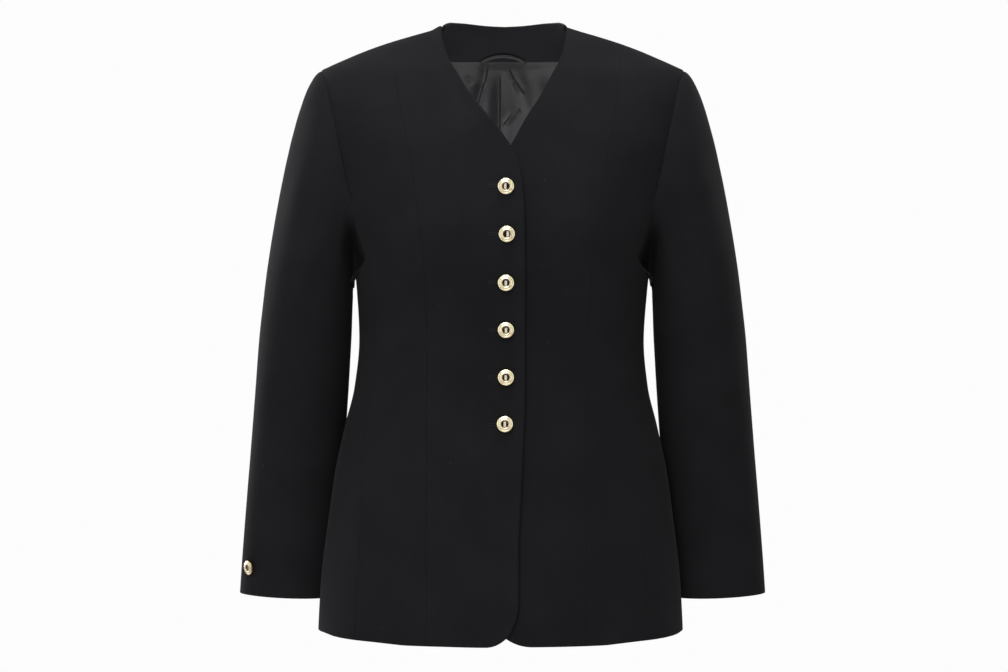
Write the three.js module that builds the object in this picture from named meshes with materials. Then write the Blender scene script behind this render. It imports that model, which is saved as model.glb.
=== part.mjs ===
// A collarless, princess-seamed blazer, hollow as if worn. Millimetres, +Z up, the front faces -Y.
// The origin lies between the shoulder points of the neck, where the coat rests on its wearer.
import * as THREE from 'three';

// ---- driving sizes -------------------------------------------------------------------------------
const CLOTH = 2.0; // wool, interfacing and lining as one wall
const LINING = 1.0;
const FACING = 1.4;
const SEAM = 0.4; // gap between two sewn pieces
const LAY = 0.5; // gap under a piece that lies on another
const HEM_Z = -705;
const SIDE_PANEL_TOP_Z = -270;
const UNDERARM_Z = -291;
const SHOULDER_TIP = { x: 213, z: -49.4 };
const NECK_POINT = { x: 73.5, z: 3.4 };
// The upper front lies lift above the lower one. It comes down to the body between two distances
// from the centre line, and between two heights below the shoulder.
const OVERLAP = { lift: CLOTH + 0.9, fullX: 25, noneX: 72, fullZ: -125, noneZ: -55 };
// Rounded hem corners of the fronts. Rows of the panel up to fade above the hem bend with them.
const CORNER = { drop: 50, runOver: 37, runUnder: 52, fade: 100 };
const BICEPS_Z = -310;

// Horizontal sections of the body, from the back neck down to the hem. half = half width, front and
// back = depth on the centre line, side = how far back the widest point lies, square = exponent of
// the rounded outline, swing = how far the section sits towards the wearer's right.
const BODY = [
  { z: 30, half: 64, front: 8, back: 58, side: 6, square: 2, swing: 0 },
  { z: 14, half: 69.5, front: 8, back: 61, side: 6, square: 2, swing: 0 },
  { z: 3.4, half: 73.5, front: 8, back: 64, side: 6, square: 1.9, swing: 0 },
  { z: 0.2, half: 82.5, front: 10, back: 65, side: 6, square: 1.87, swing: 0.3 },
  { z: -2.4, half: 90.8, front: 12, back: 66, side: 6, square: 1.85, swing: 0.5 },
  { z: -7, half: 107, front: 16, back: 68.5, side: 6, square: 1.78, swing: 0.8 },
  { z: -16.4, half: 137.3, front: 26, back: 73, side: 5.5, square: 1.73, swing: 1.5 },
  { z: -25.9, half: 163, front: 34, back: 77, side: 5, square: 1.72, swing: 2 },
  { z: -35.4, half: 185, front: 41, back: 81, side: 4.5, square: 1.86, swing: 2.3 },
  { z: -44.8, half: 205, front: 46.5, back: 84.5, side: 4, square: 2.1, swing: 2.3 },
  { z: -49.4, half: 213, front: 50, back: 86, side: 3.5, square: 2.25, swing: 2.3 },
  { z: -64, half: 214.5, front: 59, back: 90, side: 2, square: 2.6, swing: 2.3 },
  { z: -88, half: 214, front: 72, back: 96, side: 0, square: 2.75, swing: 2.3 },
  { z: -126, half: 210.5, front: 90, back: 103, side: -3, square: 2.65, swing: 2.3 },
  { z: -165, half: 204.5, front: 103, back: 106, side: -6, square: 2.5, swing: 2.3 },
  { z: -205, half: 195, front: 112, back: 105.5, side: -9, square: 2.4, swing: 2.4 },
  { z: -245, half: 184, front: 117, back: 103, side: -12, square: 2.4, swing: 2.5 },
  { z: -280, half: 173, front: 117, back: 100, side: -11, square: 2.38, swing: 2.7 },
  { z: -310, half: 169.5, front: 112, back: 95, side: -10, square: 2.34, swing: 2.9 },
  { z: -366, half: 166.5, front: 101, back: 86, side: -8, square: 2.25, swing: 3.5 },
  { z: -420, half: 171.5, front: 103, back: 92, side: -9, square: 2.2, swing: 3.9 },
  { z: -466, half: 182.4, front: 107, back: 101, side: -12, square: 2.15, swing: 4.1 },
  { z: -519, half: 193.3, front: 112.5, back: 111, side: -18, square: 2.12, swing: 4.1 },
  { z: -580, half: 201.5, front: 117.5, back: 118.5, side: -22, square: 2.1, swing: 4.3 },
  { z: -640, half: 208.5, front: 120.5, back: 122, side: -24, square: 2.1, swing: 4.5 },
  { z: -705, half: 212, front: 122, back: 124, side: -25, square: 2.1, swing: 4.6 },
  { z: -720, half: 212.5, front: 122.3, back: 124.3, side: -25, square: 2.1, swing: 4.6 },
];

// Soft fullness that the princess seams sew in: over the bust in front, over the shoulder blade.
const BUST = { x: 92, z: -240, wide: 48, high: 58, full: 8 };
const BLADE = { x: 88, z: -135, wide: 60, high: 75, full: 5 };

// Front edge of each front, from the shoulder down the neck to the hem corner. over and under give
// its distance from the centre line towards the piece's own side; negative is past the centre.
const FRONT_EDGE = [
  { z: 3.4, over: 73.5, under: 73.5 },
  { z: -9, over: 73, under: 73 },
  { z: -24, over: 69.2, under: 70.4 },
  { z: -39, over: 64.4, under: 65.6 },
  { z: -63, over: 51.4, under: 53.4 },
  { z: -86, over: 38, under: 41.4 },
  { z: -109, over: 22.6, under: 27.2 },
  { z: -126, over: 9.8, under: 17.4 },
  { z: -139, over: 0.6, under: 10.8 },
  { z: -150, over: -6.4, under: 4.4 },
  { z: -162, over: -13.4, under: -4 },
  { z: -177, over: -18.4, under: -12 },
  { z: -198, over: -21.6, under: -18 },
  { z: -231, over: -23.4, under: -20 },
  { z: -300, over: -24, under: -20 },
  { z: -400, over: -24, under: -20 },
  { z: -440, over: -23.6, under: -20 },
  { z: -490, over: -21.6, under: -20 },
  { z: -545, over: -19, under: -20 },
  { z: -600, over: -16.5, under: -20 },
  { z: -720, over: -16.5, under: -20 },
];

// Seams of the body. princess = distance from the centre line, over side and under side;
// sideFront and sideBack = fraction of the half width where the panel under the arm begins and ends.
const SEAMS = [
  { z: 0, princessOver: 136, princessUnder: 143, sideFront: 0.876, sideBack: 0.927 },
  { z: -32, princessOver: 130, princessUnder: 137.5, sideFront: 0.876, sideBack: 0.927 },
  { z: -111, princessOver: 115.5, princessUnder: 126, sideFront: 0.876, sideBack: 0.927 },
  { z: -176, princessOver: 103, princessUnder: 114, sideFront: 0.876, sideBack: 0.927 },
  { z: -270, princessOver: 90.7, princessUnder: 101.6, sideFront: 0.876, sideBack: 0.927 },
  { z: -304, princessOver: 87.5, princessUnder: 98.8, sideFront: 0.876, sideBack: 0.85 },
  { z: -366, princessOver: 86.2, princessUnder: 96, sideFront: 0.88, sideBack: 0.77 },
  { z: -485, princessOver: 86, princessUnder: 95, sideFront: 0.84, sideBack: 0.7 },
  { z: -588, princessOver: 85.8, princessUnder: 94, sideFront: 0.79, sideBack: 0.66 },
  { z: -720, princessOver: 85.5, princessUnder: 92, sideFront: 0.78, sideBack: 0.63 },
];

// Armhole above the panel under the arm: distance from the centre on the front and on the back.
const ARMHOLE = [
  { z: -30, front: 217, back: 217 },
  { z: -49.4, front: 213, back: 213 },
  { z: -62, front: 207, back: 207.4 },
  { z: -87, front: 200.5, back: 201 },
  { z: -133, front: 189.5, back: 193 },
  { z: -165, front: 182.5, back: 188.5 },
  { z: -196, front: 175.5, back: 184 },
  { z: -232, front: 166.5, back: 175.5 },
  { z: -256, front: 158.6, back: 168 },
  { z: -270, front: 153.7, back: 162.65 },
  { z: -290, front: 150, back: 158 },
];

// Back neck edge, from the shoulder seam to the centre back.
const BACK_NECK = [
  { x: 0, z: 12.2 },
  { x: 22, z: 12.8 },
  { x: 46, z: 13.8 },
  { x: 64, z: 12.2 },
  { x: 70.5, z: 8.3 },
  { x: 73.5, z: 3.4 },
];

// Sleeve rings: centre, half width across and half depth, from the upper arm to the cuff.
const SLEEVE = [
  { z: -260, x: 222, y: -10, half: 51, deep: 57 },
  { z: -310, x: 227, y: -8, half: 51.9, deep: 56 },
  { z: -366, x: 231.8, y: -2, half: 54, deep: 53 },
  { z: -430, x: 236.8, y: 6, half: 54.8, deep: 48 },
  { z: -490, x: 242, y: 14, half: 55.2, deep: 43 },
  { z: -560, x: 248.6, y: 21, half: 55.2, deep: 38 },
  { z: -620, x: 253.8, y: 26, half: 55.2, deep: 34 },
  { z: -672, x: 257.6, y: 29, half: 55.2, deep: 31 },
  { z: -700, x: 259.4, y: 31, half: 55.2, deep: 30 },
];
const CUFF_Z = -672;
const SLEEVE_SWING = 2.3;

// Where the two sleeve seams run, in degrees round the sleeve from the underarm over the front.
const SLEEVE_SEAMS = {
  right: { frontTop: 11, frontCuff: 22, backTop: 262, backCuff: 160 },
  left: { frontTop: 11, frontCuff: 22, backTop: 262, backCuff: 226 },
};

// Share of the way up the armhole's front against degrees round the sleeve. Below the chest the
// armhole is sewn to the side of the sleeve that lies next to the body.
const FRONT_TURN = [
  { share: 0, degrees: 0 },
  { share: 0.16, degrees: 4 },
  { share: 0.22, degrees: 7 },
  { share: 0.27, degrees: 10 },
  { share: 0.32, degrees: 15 },
  { share: 0.37, degrees: 25 },
  { share: 0.42, degrees: 40 },
  { share: 0.47, degrees: 57 },
  { share: 0.52, degrees: 72 },
  { share: 0.67, degrees: 111 },
  { share: 0.83, degrees: 148 },
  { share: 1, degrees: 180 },
];

// Degrees round the sleeve against how fully the sleeve tucks straight back behind the chest there.
const TUCK = [
  { degrees: 0, full: 0 },
  { degrees: 3.4, full: 0 },
  { degrees: 5.2, full: 0.85 },
  { degrees: 7, full: 1 },
  { degrees: 15, full: 0.95 },
  { degrees: 25, full: 0.6 },
  { degrees: 40, full: 0.2 },
  { degrees: 57, full: 0.05 },
  { degrees: 80, full: 0 },
  { degrees: 360, full: 0 },
];

// Height of the armhole's lowest stretch at each depth. Below it the sleeve keeps outside the body.
const UNDERARM_EDGE = [
  { y: -80, z: -268 },
  { y: -67, z: -276 },
  { y: -53, z: -285 },
  { y: -38, z: -290 },
  { y: -21, z: -291 },
  { y: 0, z: -289 },
  { y: 20, z: -284 },
  { y: 42, z: -270 },
];
// gap = distance kept from the body, over = height above the edge where that begins, soft = how
// gently it sets in, arrive = share of the sleeve head after which the whole gap is kept.
const CLEAR = { gap: 3, over: 10, soft: 2, arrive: 0.25 };

// Rows of the panels, from the hem to the underarm, and the shares of the height above it.
const ROWS_BELOW = [-705, -690, -668, -638, -605, -565, -520, -472, -425, -380, -346, -318, -293, -270];
const SHARES_ABOVE = [0.115, 0.25, 0.4, 0.55, 0.68, 0.79, 0.88, 0.94, 0.975, 0.994, 1];

const BUTTON = { radius: 9.5, height: 4.4, x: 1, firstZ: -193.5, pitch: 53.5, count: 6 };
const CUFF_BUTTON = { radius: 8.4, height: 4, z: -635, degreesRight: 148, degreesLeft: 214 };
const BUTTON_SIDES = 18;

// ---- curves through the tables -------------------------------------------------------------------

// A smooth curve through one column of a table, read at a given value of its key column.
function read(table, column, at, key = 'z') {
  const rising = table[table.length - 1][key] > table[0][key];
  const rows = rising ? table : [...table].reverse();
  let i = 0;
  while (i < rows.length - 2 && at > rows[i + 1][key]) i += 1;
  const slope = (a, b) => (rows[b][column] - rows[a][column]) / (rows[b][key] - rows[a][key]);
  const here = slope(i, i + 1);
  const before = i > 0 ? slope(i - 1, i) : here;
  const after = i < rows.length - 2 ? slope(i + 1, i + 2) : here;
  // A slope of nought where the curve turns keeps it from overshooting.
  const start = before * here <= 0 ? 0 : 2 * before * here / (before + here);
  const end = after * here <= 0 ? 0 : 2 * after * here / (after + here);
  const span = rows[i + 1][key] - rows[i][key];
  const t = THREE.MathUtils.clamp((at - rows[i][key]) / span, 0, 1);
  const a = rows[i][column];
  const b = rows[i + 1][column];
  return a * (2 * t ** 3 - 3 * t ** 2 + 1) + b * (3 * t ** 2 - 2 * t ** 3)
    + span * (start * (t ** 3 - 2 * t ** 2 + t) + end * (t ** 3 - t ** 2));
}

const mix = (a, b, t) => a + (b - a) * t;
const ease = (low, high, value) => THREE.MathUtils.smoothstep(value, low, high);
const bell = (value, middle, width) => Math.exp(-(((value - middle) / width) ** 2));

// Height of the shoulder line over a point this far from the centre.
function shoulderZ(x) {
  let low = SHOULDER_TIP.z;
  let high = NECK_POINT.z;
  for (let step = 0; step < 40; step += 1) {
    const middle = (low + high) / 2;
    if (read(BODY, 'half', middle) > x) low = middle;
    else high = middle;
  }
  return (low + high) / 2;
}

// ---- the body's surface --------------------------------------------------------------------------
// angle runs from 0 at the centre front over 90 degrees at the side to 180 at the centre back.
// side is -1 for the wearer's right and 1 for the left.

function bodyPoint(angle, z, side) {
  const square = read(BODY, 'square', z);
  const across = Math.sign(Math.sin(angle)) * Math.abs(Math.sin(angle)) ** (2 / square);
  const along = Math.abs(Math.cos(angle)) ** (2 / square);
  const half = read(BODY, 'half', z);
  const middle = read(BODY, 'side', z);
  const inFront = Math.cos(angle) > 0;
  const depth = inFront ? read(BODY, 'front', z) + middle : read(BODY, 'back', z) - middle;
  const swell = inFront ? BUST : BLADE;
  const x = half * across;
  const full = swell.full * bell(Math.abs(x), swell.x, swell.wide) * bell(z, swell.z, swell.high);
  const out = (depth + full) * along;
  return new THREE.Vector3(
    side * x - read(BODY, 'swing', z) * Math.abs(across),
    middle + (inFront ? -out : out),
    z,
  );
}

function bodyNormal(angle, z, side) {
  const turn = 0.02;
  const rise = 0.5;
  const round = bodyPoint(angle + turn, z, side).sub(bodyPoint(angle - turn, z, side));
  const up = bodyPoint(angle, z + rise, side).sub(bodyPoint(angle, z - rise, side));
  return round.cross(up).normalize().multiplyScalar(side);
}

function angleAt(x, z, back) {
  const half = read(BODY, 'half', z);
  const share = THREE.MathUtils.clamp(x / half, -1, 1);
  const turn = Math.asin(Math.abs(share) ** (read(BODY, 'square', z) / 2)) * Math.sign(share);
  return back ? Math.PI - turn : turn;
}

// A spot is a place on the cloth and the direction that faces out of it there.
function bodySpot(angle, z, side, out = 0) {
  const normal = bodyNormal(angle, z, side);
  return { point: bodyPoint(angle, z, side).addScaledVector(normal, out), normal };
}

// ---- shells --------------------------------------------------------------------------------------

// The wall between an outer sheet of spots and its inner sheet, closed by a rim all round. loop says
// that the last column meets the first one.
function wall(spots, thickness) {
  const rows = spots.length;
  const columns = spots[0].length;
  const positions = [];
  spots.flat().forEach(({ point }) => positions.push(...point.toArray()));
  spots.flat().forEach(({ point, normal }) => {
    positions.push(...point.clone().addScaledVector(normal, -thickness).toArray());
  });
  const outer = (i, j) => i * columns + j;
  const inner = (i, j) => rows * columns + outer(i, j);
  const faces = [];
  const quad = (a, b, c, d) => faces.push(a, b, c, a, c, d);
  for (let i = 0; i < rows - 1; i += 1) {
    for (let j = 0; j < columns - 1; j += 1) {
      quad(outer(i, j), outer(i, j + 1), outer(i + 1, j + 1), outer(i + 1, j));
      quad(inner(i, j), inner(i + 1, j), inner(i + 1, j + 1), inner(i, j + 1));
    }
    const last = columns - 1;
    quad(outer(i, 0), outer(i + 1, 0), inner(i + 1, 0), inner(i, 0));
    quad(outer(i, last), inner(i, last), inner(i + 1, last), outer(i + 1, last));
  }
  for (let j = 0; j < columns - 1; j += 1) {
    const last = rows - 1;
    quad(outer(0, j), inner(0, j), inner(0, j + 1), outer(0, j + 1));
    quad(outer(last, j), outer(last, j + 1), inner(last, j + 1), inner(last, j));
  }
  return outwards(positions, faces);
}

function signedVolume(positions, faces) {
  const corner = (k) => new THREE.Vector3().fromArray(positions, 3 * k);
  let volume = 0;
  for (let k = 0; k < faces.length; k += 3) {
    volume += corner(faces[k]).dot(corner(faces[k + 1]).cross(corner(faces[k + 2])));
  }
  return volume;
}

function outwards(positions, faces) {
  if (signedVolume(positions, faces) < 0) faces.reverse();
  const geometry = new THREE.BufferGeometry();
  geometry.setAttribute('position', new THREE.Float32BufferAttribute(positions, 3));
  geometry.setIndex(faces);
  geometry.computeVertexNormals();
  return geometry;
}

// Draws every edge of a sheet in by half a seam, so that two sewn pieces stand a seam apart.
function drawIn(spots, gap = SEAM / 2) {
  const pull = (edge, next) => {
    const inwards = next.point.clone().sub(edge.point).normalize();
    edge.point = edge.point.clone().addScaledVector(inwards, gap);
  };
  const lastRow = spots.length - 1;
  const lastColumn = spots[0].length - 1;
  spots.forEach((row) => {
    pull(row[0], row[1]);
    pull(row[lastColumn], row[lastColumn - 1]);
  });
  spots[0].forEach((spot, j) => pull(spot, spots[1][j]));
  spots[lastRow].forEach((spot, j) => pull(spot, spots[lastRow - 1][j]));
  return spots;
}

// ---- materials -----------------------------------------------------------------------------------

const wool = () => new THREE.MeshStandardMaterial({ color: 0x1d1d1f, roughness: 0.88, metalness: 0 });
const satin = () => new THREE.MeshStandardMaterial({ color: 0x2c2c2f, roughness: 0.45, metalness: 0 });
const gold = () => new THREE.MeshStandardMaterial({ color: 0xd9c58f, roughness: 0.22, metalness: 1 });

const coat = new THREE.Group();

function add(name, geometry, material) {
  const mesh = new THREE.Mesh(geometry, material);
  mesh.name = name;
  coat.add(mesh);
  return mesh;
}

// ---- seams and edges -----------------------------------------------------------------------------

const sideName = (side) => (side < 0 ? 'right' : 'left');
const princessX = (z, side) => read(SEAMS, side < 0 ? 'princessOver' : 'princessUnder', z);
const armholeX = (z, back) => read(ARMHOLE, back ? 'back' : 'front', z);

function frontEdgeX(z, side) {
  const column = side < 0 ? 'over' : 'under';
  const edge = read(FRONT_EDGE, column, z);
  const run = side < 0 ? CORNER.runOver : CORNER.runUnder;
  const cornerTop = HEM_Z + CORNER.drop;
  const below = Math.min(Math.max((cornerTop - z) / CORNER.drop, 0), 1);
  return edge + run * (1 - Math.sqrt(1 - below ** 2));
}

// How far the rounded corner lifts the hem, this far from the centre line.
function hemRise(x, side) {
  const run = side < 0 ? CORNER.runOver : CORNER.runUnder;
  const edge = read(FRONT_EDGE, side < 0 ? 'over' : 'under', HEM_Z);
  const inside = Math.min(Math.max((edge + run - x) / run, 0), 1);
  return CORNER.drop * (1 - Math.sqrt(1 - inside ** 2));
}

// Height where the princess seam meets the shoulder line.
function princessTop(side) {
  let { z } = NECK_POINT;
  for (let step = 0; step < 8; step += 1) z = shoulderZ(princessX(z, side));
  return z;
}

const rowsTo = (top) => SHARES_ABOVE.map((share) => mix(SIDE_PANEL_TOP_Z, top, share));

// A four-sided patch between its edges, each given as {x, z} for a share from 0 to 1.
function patch(left, right, bottom, top, s, v) {
  const blend = (part) => (1 - s) * left(v)[part] + s * right(v)[part]
    + (1 - v) * bottom(s)[part] + v * top(s)[part]
    - (1 - s) * (1 - v) * bottom(0)[part] - s * (1 - v) * bottom(1)[part]
    - (1 - s) * v * top(0)[part] - s * v * top(1)[part];
  return { x: blend('x'), z: blend('z') };
}

// A spot on the front or the back, from its distance to the centre line and its height.
function onPanel({ x, z }, side, back, out = 0) {
  return bodySpot(angleAt(x, z, back), z, side, out);
}

// ---- fronts --------------------------------------------------------------------------------------

function frontLift(x, z, side) {
  if (side > 0) return 0;
  const across = 1 - ease(OVERLAP.fullX, OVERLAP.noneX, x);
  return OVERLAP.lift * across * (1 - ease(OVERLAP.fullZ, OVERLAP.noneZ, z));
}

const FRONT_COLUMNS = 7;
const FRONT_CROWD = 0.85; // below 1 the columns stand closer towards the front edge

function frontPanel(side) {
  const top = princessTop(side);
  const cornerShare = 1 - Math.SQRT1_2;
  const run = side < 0 ? CORNER.runOver : CORNER.runUnder;
  const cornerX = read(FRONT_EDGE, side < 0 ? 'over' : 'under', HEM_Z) + run * cornerShare;
  const spots = [];
  ROWS_BELOW.forEach((z, i) => {
    const fade = Math.max(1 - (z - HEM_Z) / CORNER.fade, 0) ** 2;
    const edgeZ = z + CORNER.drop * cornerShare * fade;
    const edgeX = i === 0 ? cornerX : frontEdgeX(edgeZ, side);
    const row = [];
    for (let j = 0; j <= FRONT_COLUMNS; j += 1) {
      const s = (j / FRONT_COLUMNS) ** FRONT_CROWD;
      const x = mix(princessX(z, side), edgeX, s);
      const level = i === 0 ? z + hemRise(x, side) : mix(z, edgeZ, s ** 3);
      row.push(onPanel({ x, z: level }, side, false, frontLift(x, level, side)));
    }
    spots.push(row);
  });
  const left = (v) => {
    const z = mix(SIDE_PANEL_TOP_Z, top, v);
    return { x: princessX(z, side), z };
  };
  const right = (v) => {
    const z = mix(SIDE_PANEL_TOP_Z, NECK_POINT.z, v);
    return { x: frontEdgeX(z, side), z };
  };
  const bottom = (s) => ({ x: mix(left(0).x, right(0).x, s), z: SIDE_PANEL_TOP_Z });
  const shoulder = (s) => {
    const x = mix(left(1).x, NECK_POINT.x, s);
    return { x, z: shoulderZ(x) };
  };
  SHARES_ABOVE.forEach((v) => {
    const row = [];
    for (let j = 0; j <= FRONT_COLUMNS; j += 1) {
      const s = (j / FRONT_COLUMNS) ** FRONT_CROWD;
      const place = patch(left, right, bottom, shoulder, s, v);
      row.push(onPanel(place, side, false, frontLift(place.x, place.z, side)));
    }
    spots.push(row);
  });
  return drawIn(spots);
}

const SIDE_FRONT_COLUMNS = 4;

function sideFrontPanel(side) {
  const spots = [];
  const top = princessTop(side);
  ROWS_BELOW.forEach((z) => {
    const seamX = read(SEAMS, 'sideFront', z) * read(BODY, 'half', z);
    const row = [];
    for (let j = 0; j <= SIDE_FRONT_COLUMNS; j += 1) {
      const x = mix(seamX, princessX(z, side), j / SIDE_FRONT_COLUMNS);
      row.push(onPanel({ x, z }, side, false));
    }
    spots.push(row);
  });
  const left = (v) => {
    const z = mix(SIDE_PANEL_TOP_Z, SHOULDER_TIP.z, v);
    return { x: armholeX(z, false), z };
  };
  const right = (v) => {
    const z = mix(SIDE_PANEL_TOP_Z, top, v);
    return { x: princessX(z, side), z };
  };
  const bottom = (s) => ({ x: mix(left(0).x, right(0).x, s), z: SIDE_PANEL_TOP_Z });
  const shoulder = (s) => {
    const x = mix(SHOULDER_TIP.x, right(1).x, s);
    return { x, z: shoulderZ(x) };
  };
  SHARES_ABOVE.forEach((v) => {
    const row = [];
    for (let j = 0; j <= SIDE_FRONT_COLUMNS; j += 1) {
      row.push(onPanel(patch(left, right, bottom, shoulder, j / SIDE_FRONT_COLUMNS, v), side, false));
    }
    spots.push(row);
  });
  return drawIn(spots);
}

// ---- panel under the arm -------------------------------------------------------------------------

const SIDE_COLUMNS = 6;
const SIDE_BEND_Z = -380;
const UNDERARM_ROUND = 2.2; // exponent of the armhole's lowest curve

// Height of the armhole's lowest stretch, at a share of the way from its front end to its back end.
const underarmZ = (share) => UNDERARM_Z
  + (SIDE_PANEL_TOP_Z - UNDERARM_Z) * Math.abs(2 * share - 1) ** UNDERARM_ROUND;

function sideSpot(share, z, top, side) {
  const start = angleAt(read(SEAMS, 'sideFront', z) * read(BODY, 'half', z), z, false);
  const end = angleAt(read(SEAMS, 'sideBack', z) * read(BODY, 'half', z), z, true);
  const rise = Math.max((z - SIDE_BEND_Z) / (SIDE_PANEL_TOP_Z - SIDE_BEND_Z), 0);
  const level = mix(z, z + top - SIDE_PANEL_TOP_Z, rise);
  return bodySpot(mix(start, end, share), level, side);
}

function sidePanel(side) {
  const spots = ROWS_BELOW.map((z) => {
    const row = [];
    for (let j = 0; j <= SIDE_COLUMNS; j += 1) {
      const share = j / SIDE_COLUMNS;
      row.push(sideSpot(share, z, underarmZ(share), side));
    }
    return row;
  });
  return drawIn(spots);
}

// ---- back ----------------------------------------------------------------------------------------

const BACK_COLUMNS = 9;
const NECK_SHARE = 6 / 9; // the top edge's share along the shoulder, before the neck begins
const NECK_CROWD = 1.6; // above 1 the columns stand closer towards the shoulder

function backSheet(side) {
  const spots = ROWS_BELOW.map((z) => {
    const seamX = read(SEAMS, 'sideBack', z) * read(BODY, 'half', z);
    const row = [];
    for (let j = 0; j <= BACK_COLUMNS; j += 1) {
      row.push(onPanel({ x: mix(seamX, 0, j / BACK_COLUMNS), z }, side, true));
    }
    return row;
  });
  const left = (v) => {
    const z = mix(SIDE_PANEL_TOP_Z, SHOULDER_TIP.z, v);
    return { x: armholeX(z, true), z };
  };
  const right = (v) => ({ x: 0, z: mix(SIDE_PANEL_TOP_Z, BACK_NECK[0].z, v) });
  const bottom = (s) => ({ x: mix(left(0).x, 0, s), z: SIDE_PANEL_TOP_Z });
  const topEdge = (s) => {
    if (s <= NECK_SHARE) {
      const x = mix(SHOULDER_TIP.x, NECK_POINT.x, s / NECK_SHARE);
      return { x, z: shoulderZ(x) };
    }
    const x = NECK_POINT.x * (1 - ((s - NECK_SHARE) / (1 - NECK_SHARE)) ** NECK_CROWD);
    return { x, z: read(BACK_NECK, 'z', x, 'x') };
  };
  SHARES_ABOVE.forEach((v) => {
    const row = [];
    for (let j = 0; j <= BACK_COLUMNS; j += 1) {
      row.push(onPanel(patch(left, right, bottom, topEdge, j / BACK_COLUMNS, v), side, true));
    }
    spots.push(row);
  });
  return spots;
}

const backPanel = (side) => drawIn(backSheet(side));

// ---- sleeves -------------------------------------------------------------------------------------

// The armhole as one ring of spots: from the middle of the underarm over the front to the shoulder
// tip, down the back and under again. The ring's stops match the panels' own edges.
function armholeRing(side) {
  const stops = [];
  for (let j = SIDE_COLUMNS / 2; j >= 0; j -= 1) {
    const share = j / SIDE_COLUMNS;
    stops.push(sideSpot(share, SIDE_PANEL_TOP_Z, underarmZ(share), side));
  }
  rowsTo(SHOULDER_TIP.z).forEach((z) => stops.push(onPanel({ x: armholeX(z, false), z }, side, false)));
  rowsTo(SHOULDER_TIP.z).slice(0, -1).reverse().forEach((z) => {
    stops.push(onPanel({ x: armholeX(z, true), z }, side, true));
  });
  for (let j = SIDE_COLUMNS; j > SIDE_COLUMNS / 2; j -= 1) {
    const share = j / SIDE_COLUMNS;
    stops.push(sideSpot(share, SIDE_PANEL_TOP_Z, underarmZ(share), side));
  }
  // Each stop's angle round the sleeve grows with the way walked along the armhole, evenly over the
  // back and as the table says over the front.
  const tip = SIDE_COLUMNS / 2 + SHARES_ABOVE.length;
  const way = [0];
  for (let k = 1; k <= stops.length; k += 1) {
    way.push(way[k - 1] + stops[k % stops.length].point.distanceTo(stops[k - 1].point));
  }
  const total = way[stops.length];
  stops.forEach((stop, k) => {
    const front = THREE.MathUtils.degToRad(read(FRONT_TURN, 'degrees', way[k] / way[tip], 'share'));
    stop.angle = k <= tip ? front : Math.PI * (1 + (way[k] - way[tip]) / (total - way[tip]));
  });
  return stops;
}

function sleeveRing(angle, z, side) {
  const half = read(SLEEVE, 'half', z);
  const deep = read(SLEEVE, 'deep', z);
  return new THREE.Vector3(
    side * (read(SLEEVE, 'x', z) - half * Math.cos(angle)) - SLEEVE_SWING,
    read(SLEEVE, 'y', z) - deep * Math.sin(angle),
    z,
  );
}

// Parts of the direction in which the sleeve leaves the armhole, and what is taken away or added
// under the arm and over the shoulder.
const LEAVE = {
  out: 0.62, outUnder: 0.32, outOver: 0.38, along: 0.42, down: 0.4, downUnder: 0.52, downOver: 0.24,
};
const TUCK_WAY = { out: 0.1, back: 1, down: 0.1 };

const tuckAt = (angle) => read(TUCK, 'full', THREE.MathUtils.radToDeg(angle), 'degrees');

// Direction in which the sleeve leaves the armhole: outwards over the top, down under the arm, and
// straight back where it tucks behind the chest.
function sleeveStart(angle, side) {
  const under = Math.max(Math.cos(angle), 0);
  const over = Math.max(-Math.cos(angle), 0);
  const plain = new THREE.Vector3(
    side * (LEAVE.out - LEAVE.outUnder * under + LEAVE.outOver * over),
    -LEAVE.along * Math.sin(angle),
    -(LEAVE.down + LEAVE.downUnder * under - LEAVE.downOver * over),
  ).normalize();
  const tucked = new THREE.Vector3(side * TUCK_WAY.out, TUCK_WAY.back, -TUCK_WAY.down);
  return plain.lerp(tucked, tuckAt(angle % (2 * Math.PI))).normalize();
}

// How far the body reaches sideways at a depth and a height.
function bodyReach(y, z) {
  const middle = read(BODY, 'side', z);
  const square = read(BODY, 'square', z);
  const depth = y < middle ? read(BODY, 'front', z) + middle : read(BODY, 'back', z) - middle;
  const share = Math.min(Math.abs(y - middle) / depth, 1);
  return read(BODY, 'half', z) * (1 - share ** square) ** (1 / square);
}

// Moves a point of the sleeve head outwards where it would come too near the side of the body.
function keepClear(point, angle, t, side) {
  const { y, z } = point;
  const short = bodyReach(y, z) + CLEAR.gap - side * (point.x + read(BODY, 'swing', z));
  const push = (short + Math.sqrt(short ** 2 + CLEAR.soft ** 2)) / 2;
  const below = ease(-CLEAR.over, 0, read(UNDERARM_EDGE, 'z', y, 'y') - z);
  const under = Math.max(Math.cos(angle), 0);
  point.x += side * push * below * under * ease(0, CLEAR.arrive, t);
  return point;
}

const SLEEVE_GAP = 1.5 * SEAM; // between the armhole's edge and the sleeve sewn to it
const CAP_SHARE = 0.42; // the part of the sleeve's length parameter that lies above the upper arm
// How firmly the sleeve head's curve holds its direction: under the arm, over the shoulder, where it
// is tucked back, and where it arrives at the upper arm.
const CAP_PULL = { under: 0.44, over: 0.3, tucked: 2.4, arrive: 0.93 };

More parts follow.
